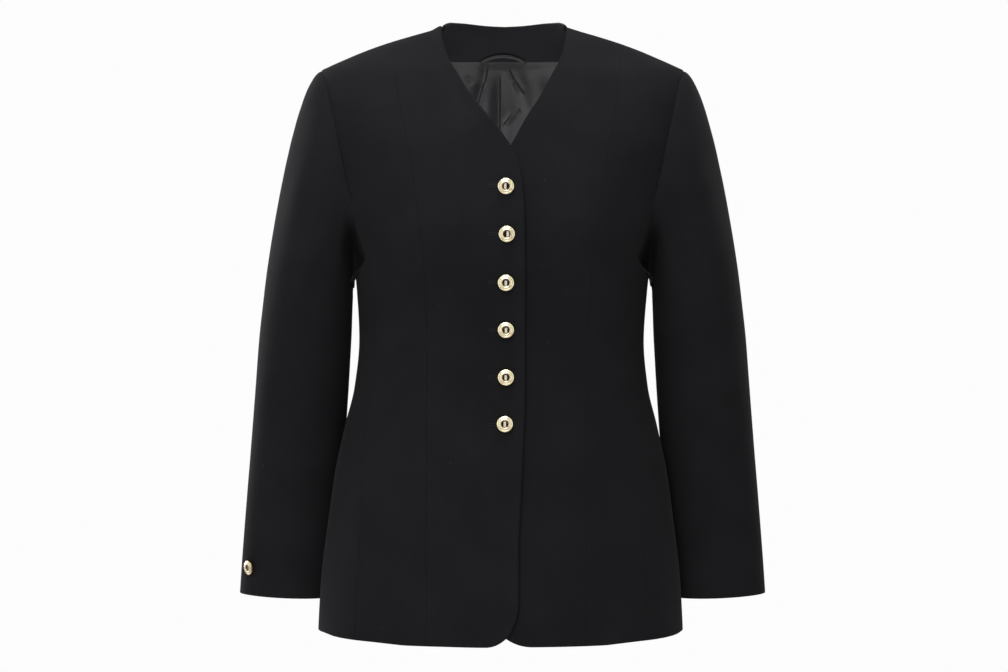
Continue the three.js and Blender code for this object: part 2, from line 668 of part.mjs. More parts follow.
function sleevePoint(stops, at, v, side) {
  const count = stops.length;
  const low = Math.floor(at);
  const part = at - low;
  const from = stops[((low % count) + count) % count];
  const to = stops[(((low + 1) % count) + count) % count];
  const turn = to.angle < from.angle ? to.angle + 2 * Math.PI : to.angle;
  const angle = mix(from.angle, turn, part);
  if (v >= CAP_SHARE) {
    const z = mix(BICEPS_Z, CUFF_Z, (v - CAP_SHARE) / (1 - CAP_SHARE));
    return sleeveRing(angle, z, side);
  }
  const t = v / CAP_SHARE;
  const leave = sleeveStart(angle, side);
  const seamNormal = from.normal.clone().lerp(to.normal, part);
  const clear = leave.clone().addScaledVector(seamNormal, Math.max(Math.cos(angle), 0)).normalize();
  const start = from.point.clone().lerp(to.point, part).addScaledVector(clear, SLEEVE_GAP);
  const end = sleeveRing(angle, BICEPS_Z, side);
  const span = start.distanceTo(end);
  const plainPull = mix(CAP_PULL.under, CAP_PULL.over, Math.max(-Math.cos(angle), 0));
  const pull = plainPull + CAP_PULL.tucked * tuckAt(angle % (2 * Math.PI));
  const arrive = sleeveRing(angle, BICEPS_Z - 5, side).sub(end).normalize();
  start.multiplyScalar(2 * t ** 3 - 3 * t ** 2 + 1)
    .addScaledVector(leave, pull * span * (t ** 3 - 2 * t ** 2 + t))
    .addScaledVector(end, 3 * t ** 2 - 2 * t ** 3)
    .addScaledVector(arrive, CAP_PULL.arrive * span * (t ** 3 - t ** 2));
  return keepClear(start, angle, t, side);
}

function sleeveSpot(stops, at, v, side) {
  const step = 0.01;
  const around = sleevePoint(stops, at + 0.5, v, side).sub(sleevePoint(stops, at - 0.5, v, side));
  const down = sleevePoint(stops, at, Math.min(v + step, 1), side)
    .sub(sleevePoint(stops, at, Math.max(v - step, 0), side));
  const normal = around.cross(down).normalize().multiplyScalar(-side);
  if (v === 0) {
    // The first ring turns with the body's own edge over the shoulder and in the tuck, so that their
    // rims stay parallel.
    const stop = stops[((Math.round(at) % stops.length) + stops.length) % stops.length];
    const over = 0.5 - 0.5 * Math.cos(stop.angle);
    normal.lerp(stop.normal, Math.max(over, tuckAt(stop.angle))).normalize();
  }
  return { point: sleevePoint(stops, at, v, side), normal };
}

// Where a seam stands, as a place along the ring of stops, for an angle in degrees.
function stopAt(stops, degrees) {
  const angle = THREE.MathUtils.degToRad(degrees);
  let k = 0;
  while (k < stops.length - 1 && stops[k + 1].angle < angle) k += 1;
  const next = k + 1 < stops.length ? stops[k + 1].angle : 2 * Math.PI;
  return k + (angle - stops[k].angle) / (next - stops[k].angle);
}

const SLEEVE_ROWS = [
  0, 0.035, 0.08, 0.135, 0.2, 0.27, 0.345, CAP_SHARE, 0.47, 0.53, 0.6, 0.68, 0.76, 0.84, 0.92, 1,
];

const SEAMS_SETTLE = 0.9; // share of the length after which the seams stand as they do at the cuff

// One piece of a sleeve, between the stops where its two seams leave the armhole.
function sleevePiece(side, stops, firstStop, lastStop, firstCuff, lastCuff) {
  const spots = SLEEVE_ROWS.map((v) => {
    const row = [];
    const settle = ease(0, 1, Math.min(v / SEAMS_SETTLE, 1));
    for (let k = firstStop; k <= lastStop; k += 1) {
      const share = (k - firstStop) / (lastStop - firstStop);
      const shift = mix(firstCuff - firstStop, lastCuff - lastStop, share) * settle;
      row.push(sleeveSpot(stops, k + shift, v, side));
    }
    return row;
  });
  return drawIn(spots);
}

function addSleeve(side) {
  const name = sideName(side);
  const seams = SLEEVE_SEAMS[name];
  const stops = armholeRing(side);
  const front = Math.round(stopAt(stops, seams.frontTop));
  const back = Math.round(stopAt(stops, seams.backTop));
  const frontCuff = stopAt(stops, seams.frontCuff);
  const backCuff = stopAt(stops, seams.backCuff);
  const count = stops.length;
  const upper = sleevePiece(side, stops, front, back, frontCuff, backCuff);
  const under = sleevePiece(side, stops, back, front + count, backCuff, frontCuff + count);
  add(`sleeve_upper_${name}`, wall(upper, CLOTH), wool());
  add(`sleeve_under_${name}`, wall(under, CLOTH), wool());
}

// ---- inside the neck -----------------------------------------------------------------------------

const FACING_BOTTOM_Z = -27.5;
const FACING_COLUMNS = [0, 0.5, 1, 1.5, 2, 2.5, 3, 3.6];
const FACING_ROWS = [0, 0.3, 0.55, 0.75, 0.9, 0.985];
const backSheets = { right: backSheet(-1), left: backSheet(1) };

// A spot of the back on its own facets, moved inwards. row counts the back's rows and away counts
// its columns from the centre back, towards the wearer's left where it is positive.
function insideBack(row, away, inward) {
  const sheet = away < 0 ? backSheets.right : backSheets.left;
  const column = BACK_COLUMNS - Math.abs(away);
  const i = Math.min(Math.floor(row), sheet.length - 2);
  const j = Math.min(Math.floor(column), BACK_COLUMNS - 1);
  const across = (line, part) => line[j][part].clone().lerp(line[j + 1][part], column - j);
  const along = (part) => across(sheet[i], part).lerp(across(sheet[i + 1], part), row - i);
  const normal = along('normal').normalize();
  return { point: along('point').addScaledVector(normal, -inward), normal };
}

const mirrored = (columns) => [...columns.slice(1).reverse().map((away) => -away), ...columns];
const BACK_TOP_ROW = ROWS_BELOW.length + SHARES_ABOVE.length - 1;

// The row, counted in parts, at which a column of the back reaches a height.
function rowAt(z, away) {
  let low = 0;
  let high = BACK_TOP_ROW;
  for (let step = 0; step < 30; step += 1) {
    const middle = (low + high) / 2;
    if (insideBack(middle, away, 0).point.z < z) low = middle;
    else high = middle;
  }
  return low;
}

function facing() {
  return FACING_ROWS.map((share) => mirrored(FACING_COLUMNS).map((away) => {
    const row = mix(rowAt(FACING_BOTTOM_Z, away), BACK_TOP_ROW, share);
    return insideBack(row, away, CLOTH + LAY);
  }));
}

// The lining's folds: where each starts and ends, its width, and how far it stands out. A fold
// swells and fades along its run as a sine does between these two shares of half a turn.
const FOLD_SWELL = { from: 0.12, to: 0.92 };
const FOLDS = [
  { x: -5, z: -30, toX: -6, toZ: -330, wide: 9, out: 6 },
  { x: -21, z: -30, toX: -36, toZ: -90, wide: 7, out: 4 },
  { x: 7, z: -34, toX: 30, toZ: -78, wide: 6, out: 4 },
  { x: 17, z: -80, toX: -2, toZ: -98, wide: 6, out: 3 },
  { x: -46, z: -40, toX: -34, toZ: -52, wide: 7, out: 2.5 },
];

function foldOut(x, z) {
  return FOLDS.reduce((sum, fold) => {
    const start = new THREE.Vector2(fold.x, fold.z);
    const run = new THREE.Vector2(fold.toX, fold.toZ).sub(start);
    const here = new THREE.Vector2(x, z).sub(start);
    const share = THREE.MathUtils.clamp(here.dot(run) / run.lengthSq(), 0, 1);
    const away = here.distanceTo(run.clone().multiplyScalar(share));
    const swell = Math.sin(Math.PI * mix(FOLD_SWELL.from, FOLD_SWELL.to, share));
    return sum + fold.out * bell(away, 0, fold.wide) * swell;
  }, 0);
}

const LINING_COLUMNS = [0, 0.3, 0.65, 1, 1.4, 2, 3, 4, 5.5, 7, 8.3];
const LINING_LEVEL_ROWS = 12; // rows that follow the back's own level ones, from just above the hem
// Beside the neck, from this column on, the lining ends just under the shoulder seam.
const LINING_SHOULDER = { column: 4, z: -62, rowsBelow: 0.3 };
const LINING_UPPER_SHARES = [0.2, 0.4, 0.58, 0.74, 0.88, 1];

function liningSpot(row, away) {
  const { point } = insideBack(row, away, 0);
  return insideBack(row, away, CLOTH + LAY + foldOut(point.x, point.z));
}

function lining() {
  const columns = mirrored(LINING_COLUMNS);
  const spots = [];
  for (let row = 1; row <= LINING_LEVEL_ROWS; row += 1) {
    spots.push(columns.map((away) => liningSpot(row, away)));
  }
  LINING_UPPER_SHARES.forEach((share) => {
    spots.push(columns.map((away) => {
      const shoulder = rowAt(LINING_SHOULDER.z, away) - LINING_SHOULDER.rowsBelow;
      const seam = rowAt(FACING_BOTTOM_Z - SEAM, away);
      const top = Math.abs(away) > LINING_SHOULDER.column ? Math.min(shoulder, seam) : seam;
      return liningSpot(mix(LINING_LEVEL_ROWS, top, share), away);
    }));
  });
  return spots;
}

// The hanger loop: reach and shift count the back's columns from the centre, foot is the height of
// its ends over the facing's seam, round below 1 makes its arch fuller, bow lifts it off the cloth.
const LOOP = {
  reach: 0.78, shift: -0.05, foot: 1, rise: 9, round: 0.7, bow: 1.5, width: 3.4, steps: 14, thick: 0.9,
};

function hangerLoop() {
  const base = CLOTH + LAY + FACING + 1.5 * LAY;
  return [0, 1].map((edge) => {
    const row = [];
    for (let k = 0; k <= LOOP.steps; k += 1) {
      const share = 2 * k / LOOP.steps - 1;
      const arch = Math.cos(Math.PI / 2 * share);
      const away = LOOP.reach * share + LOOP.shift;
      const middle = FACING_BOTTOM_Z + LOOP.foot + LOOP.rise * Math.max(arch, 0) ** LOOP.round;
      const z = middle + LOOP.width * (edge - 0.5);
      row.push(insideBack(rowAt(z, away), away, base + LOOP.bow * arch));
    }
    return row;
  });
}

// ---- buttons -------------------------------------------------------------------------------------

// A ring button turned from brass: a flat back, a rounded rim, a fine step and a domed well.
function buttonGeometry({ radius, height }) {
  const profile = [
    [0, 0], [0.88, 0], [1, 0.25], [0.98, 0.55], [0.88, 0.85], [0.76, 1],
    [0.62, 0.93], [0.52, 0.6], [0.48, 0.3], [0.3, 0.42], [0, 0.5],
  ];
  const points = profile.map(([r, h]) => new THREE.Vector2(r * radius, h * height));
  return new THREE.LatheGeometry(points, BUTTON_SIDES);
}

// Height, along a spot's normal, of the highest cloth under a button's rim and middle.
function seatHeight(cloth, spot, radius) {
  const start = 20;
  const ray = new THREE.Raycaster();
  const across = new THREE.Vector3(0, 0, 1).cross(spot.normal).normalize().multiplyScalar(radius);
  const heights = [0];
  for (let k = 0; k < BUTTON_SIDES; k += 1) {
    const arm = across.clone().applyAxisAngle(spot.normal, 2 * Math.PI * k / BUTTON_SIDES);
    [0.5, 1].forEach((reach) => {
      const from = spot.point.clone().addScaledVector(arm, reach).addScaledVector(spot.normal, start);
      ray.set(from, spot.normal.clone().negate());
      ray.intersectObject(cloth).slice(0, 1).forEach((hit) => heights.push(start - hit.distance));
    });
  }
  return Math.max(...heights);
}

function addButton(name, size, spot, cloth) {
  const button = add(name, buttonGeometry(size), gold());
  button.quaternion.setFromUnitVectors(new THREE.Vector3(0, 1, 0), spot.normal);
  button.position.copy(spot.point);
  button.position.addScaledVector(spot.normal, seatHeight(cloth, spot, size.radius) + SEAM);
}

// ---- assembly ------------------------------------------------------------------------------------

[-1, 1].forEach((side) => {
  const name = sideName(side);
  add(`front_${name}`, wall(frontPanel(side), CLOTH), wool());
  add(`side_front_${name}`, wall(sideFrontPanel(side), CLOTH), wool());
  add(`side_${name}`, wall(sidePanel(side), CLOTH), wool());
  add(`back_${name}`, wall(backPanel(side), CLOTH), wool());
  addSleeve(side);
});

add('back_neck_facing', wall(facing(), FACING), wool());
add('back_lining', wall(lining(), LINING), satin());
add('hanger_loop', wall(hangerLoop(), LOOP.thick), satin());

for (let k = 0; k < BUTTON.count; k += 1) {
  const z = BUTTON.firstZ - k * BUTTON.pitch;
  const x = -BUTTON.x;
  const spot = onPanel({ x, z }, -1, false, frontLift(x, z, -1));
  addButton(`button_${k + 1}`, BUTTON, spot, coat.getObjectByName('front_right'));
}

[[-1, CUFF_BUTTON.degreesRight], [1, CUFF_BUTTON.degreesLeft]].forEach(([side, degrees]) => {
  const stops = armholeRing(side);
  const v = mix(CAP_SHARE, 1, (CUFF_BUTTON.z - BICEPS_Z) / (CUFF_Z - BICEPS_Z));
  const spot = sleeveSpot(stops, stopAt(stops, degrees), v, side);
  const sleeve = coat.getObjectByName(`sleeve_upper_${sideName(side)}`);
  addButton(`cuff_button_${sideName(side)}`, CUFF_BUTTON, spot, sleeve);
});

export default coat;
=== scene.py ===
# %% [markdown]
# # A collarless blazer with six ring buttons
# The coat is shown as if worn, but with nobody in it. Its wool hangs as thin shells from the
# shoulders, its lining shows inside the neck, and its buttons are turned brass. A ready-made plain
# model, the frame, gives every piece its place. This lesson dresses that frame piece by piece.

import math

import bmesh
import bpy
import numpy as np
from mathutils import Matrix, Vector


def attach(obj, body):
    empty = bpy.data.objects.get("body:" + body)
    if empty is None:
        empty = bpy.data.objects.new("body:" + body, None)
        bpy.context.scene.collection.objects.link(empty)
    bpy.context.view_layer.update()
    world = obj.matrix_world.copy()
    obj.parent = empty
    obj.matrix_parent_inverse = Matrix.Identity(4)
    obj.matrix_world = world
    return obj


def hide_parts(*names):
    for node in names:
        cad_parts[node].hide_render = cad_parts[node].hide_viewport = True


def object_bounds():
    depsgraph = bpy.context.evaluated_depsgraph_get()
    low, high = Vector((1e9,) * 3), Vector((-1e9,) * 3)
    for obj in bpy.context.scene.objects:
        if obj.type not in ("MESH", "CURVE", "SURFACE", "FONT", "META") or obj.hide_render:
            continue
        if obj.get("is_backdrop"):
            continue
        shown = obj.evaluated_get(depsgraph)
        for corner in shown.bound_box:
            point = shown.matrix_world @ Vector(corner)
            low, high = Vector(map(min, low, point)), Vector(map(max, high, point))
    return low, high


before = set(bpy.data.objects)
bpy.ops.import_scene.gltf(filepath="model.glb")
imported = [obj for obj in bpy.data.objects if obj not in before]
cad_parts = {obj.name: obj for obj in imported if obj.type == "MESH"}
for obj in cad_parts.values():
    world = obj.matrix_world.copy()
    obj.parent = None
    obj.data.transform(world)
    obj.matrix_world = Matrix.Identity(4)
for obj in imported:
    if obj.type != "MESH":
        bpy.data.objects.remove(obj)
plain_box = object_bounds()
print("plain model:", len(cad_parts), "nodes")

# %% [markdown]
# ## Smooth curves through short tables
# A tailor drafts a coat from a few measured heights. The same is done here: each table gives sizes
# at some heights, in millimetres, and a curve that never overshoots joins them. The slope at each
# row is the harmonic mean of its neighbours' slopes, and nought where the sizes turn.

# %% Tables that read as smooth curves
MM = 0.001


class SizeTable:
    """Rows of sizes; calling the table reads one named column at any value of the first column."""

    def __init__(self, names, rows):
        rows = np.array(sorted(rows), float)
        self.keys = rows[:, 0]
        self.columns = dict(zip(names, rows[:, 1:].T))

    def __call__(self, name, at):
        keys, sizes = self.keys, self.columns[name]
        at = np.clip(at, keys[0], keys[-1])
        steps = np.diff(sizes) / np.diff(keys)
        before, after = steps[:-1], steps[1:]
        total = np.where(before * after > 0, before + after, 1.0)
        inner = np.where(before * after > 0, 2 * before * after / total, 0.0)
        slopes = np.concatenate([steps[:1], inner, steps[-1:]])
        row = np.clip(np.searchsorted(keys, at, side="right") - 1, 0, len(keys) - 2)
        span = keys[row + 1] - keys[row]
        t = (at - keys[row]) / span
        ends = sizes[row] * (2 * t**3 - 3 * t**2 + 1) + sizes[row + 1] * (3 * t**2 - 2 * t**3)
        bends = slopes[row] * (t**3 - 2 * t**2 + t) + slopes[row + 1] * (t**3 - t**2)
        return ends + span * bends


def mix(a, b, t):
    return a + (b - a) * t


def ease(low, high, value):
    t = np.clip((value - low) / (high - low), 0, 1)
    return t * t * (3 - 2 * t)


def bell(value, middle, width):
    return np.exp(-(((value - middle) / width) ** 2))


print("curves ready")

# %% [markdown]
# ## The body's outline
# Each row is one level cut through the coat: its half width, how deep it is in front and behind,
# how far back its widest point lies, how square its outline is, and how far it swings to one side.

# %% Sections from the back neck to the hem
BODY = SizeTable(
    ("half", "front", "back", "side", "square", "swing"),
    [
        (30, 64, 8, 58, 6, 2, 0),
        (14, 69.5, 8, 61, 6, 2, 0),
        (3.4, 73.5, 8, 64, 6, 1.9, 0),
        (0.2, 82.5, 10, 65, 6, 1.87, 0.3),
        (-2.4, 90.8, 12, 66, 6, 1.85, 0.5),
        (-7, 107, 16, 68.5, 6, 1.78, 0.8),
        (-16.4, 137.3, 26, 73, 5.5, 1.73, 1.5),
        (-25.9, 163, 34, 77, 5, 1.72, 2),
        (-35.4, 185, 41, 81, 4.5, 1.86, 2.3),
        (-44.8, 205, 46.5, 84.5, 4, 2.1, 2.3),
        (-49.4, 213, 50, 86, 3.5, 2.25, 2.3),
        (-64, 214.5, 59, 90, 2, 2.6, 2.3),
        (-88, 214, 72, 96, 0, 2.75, 2.3),
        (-126, 210.5, 90, 103, -3, 2.65, 2.3),
        (-165, 204.5, 103, 106, -6, 2.5, 2.3),
        (-205, 195, 112, 105.5, -9, 2.4, 2.4),
        (-245, 184, 117, 103, -12, 2.4, 2.5),
        (-280, 173, 117, 100, -11, 2.38, 2.7),
        (-310, 169.5, 112, 95, -10, 2.34, 2.9),
        (-366, 166.5, 101, 86, -8, 2.25, 3.5),
        (-420, 171.5, 103, 92, -9, 2.2, 3.9),
        (-466, 182.4, 107, 101, -12, 2.15, 4.1),
        (-519, 193.3, 112.5, 111, -18, 2.12, 4.1),
        (-580, 201.5, 117.5, 118.5, -22, 2.1, 4.3),
        (-640, 208.5, 120.5, 122, -24, 2.1, 4.5),
        (-705, 212, 122, 124, -25, 2.1, 4.6),
        (-720, 212.5, 122.3, 124.3, -25, 2.1, 4.6),
    ],
)
BUST = {"x": 92, "z": -240, "wide": 48, "high": 58, "full": 8}
BLADE = {"x": 88, "z": -135, "wide": 60, "high": 75, "full": 5}
HEM_Z = -705
SIDE_TOP_Z = -270
SHOULDER_TIP = (213, -49.4)
NECK_POINT = (73.5, 3.4)
CLOTH = 2.0
print("coat length", -HEM_Z, "mm, shoulders", 2 * SHOULDER_TIP[0], "mm")

# %% [markdown]
# ## The body as one surface
# `angle` walks round the coat from the centre front over the side to the centre back. `side` is -1
# for the wearer's right half and 1 for the left. The outline is a superellipse: an ellipse whose
# corners can be made squarer, which suits shoulders over pads.

# %% Points and outward directions on the body


def swell(place, x, z):
    return place["full"] * bell(x, place["x"], place["wide"]) * bell(z, place["z"], place["high"])


def body_point(angle, z, side):
    angle, z = np.broadcast_arrays(angle, np.asarray(z, float))
    sine, cosine = np.sin(angle), np.cos(angle)
    power = 2 / BODY("square", z)
    across = np.sign(sine) * np.abs(sine) ** power
    middle = BODY("side", z)
    in_front = cosine > 0
    x = BODY("half", z) * across
    depth = np.where(in_front, BODY("front", z) + middle, BODY("back", z) - middle)
    depth = depth + np.where(in_front, swell(BUST, np.abs(x), z), swell(BLADE, np.abs(x), z))
    out = depth * np.abs(cosine) ** power
    y = middle + np.where(in_front, -out, out)
    return np.stack([side * x - BODY("swing", z) * np.abs(across), y, z], -1)


def unit(vectors):
    return vectors / np.linalg.norm(vectors, axis=-1, keepdims=True)


def body_normal(angle, z, side):
    turn, rise = 0.02, 0.5  # radians, millimetres
    round_it = body_point(angle + turn, z, side) - body_point(angle - turn, z, side)
    up_it = body_point(angle, z + rise, side) - body_point(angle, z - rise, side)
    return unit(np.cross(round_it, up_it)) * side


def angle_at(x, z, back):
    share = np.clip(x / BODY("half", z), -1, 1)
    turn = np.arcsin(np.abs(share) ** (BODY("square", z) / 2)) * np.sign(share)
    return math.pi - turn if back else turn


HALVINGS = 40


def shoulder_z(x):
    """Height of the shoulder line this far from the centre, found by halving."""
    low = np.full_like(x, SHOULDER_TIP[1], dtype=float)
    high = np.full_like(x, NECK_POINT[1], dtype=float)
    for _ in range(HALVINGS):
        middle = (low + high) / 2
        wide = BODY("half", middle) > x
        low, high = np.where(wide, middle, low), np.where(wide, high, middle)
    return (low + high) / 2


print("chest half width", round(float(BODY("half", -245)), 1), "mm")

# %% [markdown]
# ## Edges and seams
# The front edge runs down the neck to a rounded hem corner. `over` is the front that laps on top,
# `under` the one below it. The princess seams shape the bust, and two more seams bound the panel
# under each arm.

# %% Edge and seam tables
FRONT_EDGE = SizeTable(
    ("over", "under"),
    [
        (3.4, 73.5, 73.5),
        (-9, 73, 73),
        (-24, 69.2, 70.4),
        (-39, 64.4, 65.6),
        (-63, 51.4, 53.4),
        (-86, 38, 41.4),
        (-109, 21.6, 27.2),
        (-126, 8, 17.4),
        (-139, -1.2, 10.8),
        (-150, -8, 4.4),
        (-162, -14.2, -4),
        (-177, -18.4, -12),
        (-198, -21.6, -18),
        (-231, -23.4, -20),
        (-300, -24, -20),
        (-400, -24, -20),
        (-440, -23.6, -20),
        (-490, -21.6, -20),
        (-545, -19, -20),
        (-600, -16.5, -20),
        (-720, -16.5, -20),
    ],
)
SEAMS = SizeTable(
    ("over", "under", "side_front", "side_back"),
    [
        (0, 136, 143, 0.876, 0.927),
        (-32, 130, 137.5, 0.876, 0.927),
        (-111, 115.5, 126, 0.876, 0.927),
        (-176, 103, 114, 0.876, 0.927),
        (-270, 90.7, 101.6, 0.876, 0.927),
        (-304, 87.5, 98.8, 0.876, 0.85),
        (-366, 86.2, 96, 0.88, 0.77),
        (-485, 86, 95, 0.84, 0.7),
        (-588, 85.8, 94, 0.79, 0.66),
        (-720, 85.5, 92, 0.78, 0.63),
    ],
)
ARMHOLE = SizeTable(
    ("front", "back"),
    [
        (-30, 217, 217),
        (-49.4, 213, 213),
        (-62, 207, 207.4),
        (-87, 200.5, 201),
        (-133, 189.5, 193),
        (-165, 182.5, 188.5),
        (-196, 175.5, 184),
        (-232, 166.5, 175.5),
        (-256, 158.6, 168),
        (-270, 153.7, 162.65),
        (-290, 150, 158),
    ],
)
BACK_NECK = SizeTable(
    ("z",), [(0, 12.2), (22, 12.8), (46, 13.8), (64, 12.2), (70.5, 8.3), (73.5, 3.4)]
)
CORNER_DROP = 50
CORNER_RUN = {-1: 37, 1: 52}
LAP = {-1: "over", 1: "under"}


def front_edge_x(z, side):
    below = np.clip((HEM_Z + CORNER_DROP - z) / CORNER_DROP, 0, 1)
    return FRONT_EDGE(LAP[side], z) + CORNER_RUN[side] * (1 - np.sqrt(1 - below**2))


def hem_rise(x, side):
    run = CORNER_RUN[side]
    inside = np.clip((FRONT_EDGE(LAP[side], HEM_Z) + run - x) / run, 0, 1)
    return CORNER_DROP * (1 - np.sqrt(1 - inside**2))


SHOULDER_GUESS_Z = -18.0
SHOULDER_TRIES = 8


def princess_top(side):
    """Height where the princess seam meets the shoulder line, found by trying a few times."""
    z = np.array(SHOULDER_GUESS_Z)
    for _ in range(SHOULDER_TRIES):
        z = shoulder_z(SEAMS(LAP[side], z))
    return float(z)


print("princess seams end at", round(princess_top(-1), 1), round(princess_top(1), 1), "mm")

# %% [markdown]
# ## Soft creases
# Good wool over a firm canvas hardly creases, but cloth is never quite flat. Each row below is one
# soft ridge (positive) or trough (negative) from one place to another, with its half width and its
# height. They are uneven in length, depth and spacing, and the hidden sides have some too.

# %% Creases, given one by one
# x, z, to x, to z, half width, height out of the cloth
FRONT_CREASES = [
    (-36, -232, -30, -310, 11, -1.1),
    (-16, -215, -17, -300, 14, 0.7),
    (-158, -318, -88, -372, 17, -1.7),
    (-160, -395, -104, -352, 15, 1.4),
    (-150, -430, -60, -398, 18, -0.9),
    (126, -205, 141, -335, 17, -2.0),
    (112, -330, 150, -392, 15, 1.2),
    (52, -402, 152, -438, 17, -1.0),
    (48, -250, 60, -330, 20, -0.7),
    (-58, -470, -67, -712, 26, 1.3),
    (-118, -500, -126, -712, 18, -1.4),
    (-163, -520, -172, -712, 17, 1.3),
    (66, -490, 80, -712, 28, 1.1),
    (122, -505, 131, -712, 20, -1.5),
    (166, -530, 174, -712, 17, 1.2),
    (-172, -120, -150, -205, 16, -1.1),
    (176, -112, 150, -215, 17, -1.2),
]
BACK_CREASES = [
    (-128, -150, -60, -235, 20, -1.6),
    (122, -160, 52, -262, 19, -1.4),
    (-12, -340, -96, -384, 16, -1.5),
    (20, -360, 104, -398, 17, 1.3),
    (-70, -400, 8, -424, 15, 1.1),
    (-40, -470, -52, -712, 24, 1.6),
    (44, -500, 50, -712, 27, -1.5),
    (98, -480, 112, -712, 22, 1.3),
    (-104, -520, -118, -712, 21, -1.3),
    (150, -300, 120, -372, 15, -1.2),
    (-152, -290, -128, -366, 16, -1.4),
]
CREASE_SPAN = (0.12, 0.92)  # the part of half a wave that a crease follows along its line


def crease_height(table, x, z):
    """Height out of the cloth: each crease swells and dies away along its line."""
    total = np.zeros(np.broadcast(x, z).shape)
    for x0, z0, x1, z1, wide, height in table:
        length = (x1 - x0) ** 2 + (z1 - z0) ** 2
        share = np.clip(((x - x0) * (x1 - x0) + (z - z0) * (z1 - z0)) / length, 0, 1)
        away = np.hypot(x - mix(x0, x1, share), z - mix(z0, z1, share))
        total += height * bell(away, 0, wide) * np.sin(math.pi * mix(*CREASE_SPAN, share))
    return total


print(len(FRONT_CREASES) + len(BACK_CREASES), "creases on the body")

# %% [markdown]
# ## Thin shells with turned edges
# A cut panel is a grid of points on the body's surface. A second grid lies inside it, one cloth
# thickness away, and a rim joins the two. Near each edge the two grids curve towards each other, as
# cloth does where it is turned under. Two panels side by side then meet in a fine valley: a seam.
# Rows and columns crowd at the edges so that this small curve keeps its shape, and over a wider
# strip at the front edges, where the upper one is thicker.

# %% Rows, columns and lengths of a panel
GAP = 0.02  # half the gap between two sewn panels
SEAM_ROLL = 0.36
EDGE_ROLL = 0.98
CROWD = np.array([0, 0.12, 0.35, 0.7, 1.1, 2.2])
THICK_CROWD = np.array([0, 0.06, 0.2, 0.45, 0.8, 1.3, 2.0, 2.8, 4.2, 6.2])


def shares(width, inner, last=GAP, last_crowd=CROWD):
    """Shares of the way across, crowded within a few millimetres of both edges."""
    width = np.atleast_1d(np.asarray(width, float))[:, None]
    low = (GAP + CROWD) / width
    high = 1 - (last + last_crowd[::-1]) / width
    between = np.linspace(0, 1, inner + 2)[1:-1]
    return np.concatenate([low, mix(low[:, -1:], high[:, :1], between), high], axis=1)


def walked(points):
    """Millimetres walked over a grid of places: along each row, and up each column."""
    across, along = (np.linalg.norm(np.diff(points, axis=k), axis=-1) for k in (1, 0))
    left = np.pad(np.cumsum(across, axis=1), ((0, 0), (1, 0)))
    return left, np.pad(np.cumsum(along, axis=0), ((1, 0), (0, 0)))


def edge_depth(points, rolls):
    """How far the outer grid sinks near its edges, for rolls at (left, right, bottom, top)."""
    left, bottom = walked(points)
    away = (left, left[:, -1:] - left, bottom, bottom[-1:] - bottom)
    depth = np.zeros(points.shape[:2])
    for distance, roll in zip(away, rolls):
        reach = np.clip(roll - distance, 0, roll)
        depth = np.maximum(depth, roll - np.sqrt(roll**2 - reach**2))
    return depth


def cloth_lengths(points):
    """Metres along the cloth, across and up, for the weave to follow."""
    u, v = walked(points)
    middle = points.shape[1] // 2
    return np.stack([u - u[:, middle : middle + 1], v], -1) * MM


print("rows crowd over", CROWD[-1], "mm at an edge and over", THICK_CROWD[-1], "mm at the thick one")

# %% Building a shell


def linked(name, data):
    made = bpy.data.objects.new(name, data)
    bpy.context.collection.objects.link(made)
    return made


def closed_piece(name, places, faces, lengths, finishes, finish=None):
    """A closed mesh. Its faces are turned outwards, judged by its signed volume."""
    mesh = bpy.data.meshes.new(name)
    mesh.from_pydata((places * MM).tolist(), [], faces)
    layer = mesh.uv_layers.new(name="cloth")
    loops = np.empty(len(mesh.loops), int)
    mesh.loops.foreach_get("vertex_index", loops)
    layer.data.foreach_set("uv", lengths.reshape(-1, 2)[loops].ravel())
    for material in finishes:
        mesh.materials.append(material)
    if finish is not None:
        mesh.polygons.foreach_set("material_index", finish)
    work = bmesh.new()
    work.from_mesh(mesh)
    if work.calc_volume(signed=True) < 0:
        bmesh.ops.reverse_faces(work, faces=work.faces)
    work.to_mesh(mesh)
    work.free()
    mesh.shade_smooth()
    return linked(name, mesh)


def shell(name, points, normals, thickness, rolls, finishes, inside=None):
    """A closed thin shell. inside gives the finish of each inner face; 0 is the outer finish."""
    depth = edge_depth(points, rolls)[..., None]
    outer = points - normals * depth
    inner = points - normals * (np.asarray(thickness, float)[..., None] - depth)
    grid = np.arange(depth.size).reshape(depth.shape[:2])
    under = grid + grid.size
    outer_quads = np.stack([grid[:-1, :-1], grid[:-1, 1:], grid[1:, 1:], grid[1:, :-1]], -1)
    inner_quads = np.stack([under[:-1, :-1], under[1:, :-1], under[1:, 1:], under[:-1, 1:]], -1)
    rim = np.concatenate([grid[0], grid[1:, -1], grid[-1, -2::-1], grid[-2:0:-1, 0]])
    following = np.roll(rim, -1)
    rim_quads = np.stack([following, rim, rim + grid.size, following + grid.size], -1)
    faces = np.concatenate([outer_quads.reshape(-1, 4), inner_quads.reshape(-1, 4), rim_quads])
    finish = np.zeros(len(faces), int)
    if inside is not None:
        half = inside[:-1, :-1].size
        finish[half : 2 * half] = inside[:-1, :-1].ravel()
    places = np.concatenate([outer.reshape(-1, 3), inner.reshape(-1, 3)])
    lengths = np.stack([cloth_lengths(points)] * 2)
    return closed_piece(name, places, faces.tolist(), lengths, finishes, finish)


print("shell builder ready")

# %% [markdown]
# ## Shader groups that several finishes share
# Weave and nap appear on the wool, the satin and the threads, so each is a node group with named
# inputs, built once. A group only gives out heights, masks and tones; the shader itself stays in
# each material, where its constant values are set on its own sockets.

# %% Helpers for node trees
FLOAT = "NodeSocketFloat"


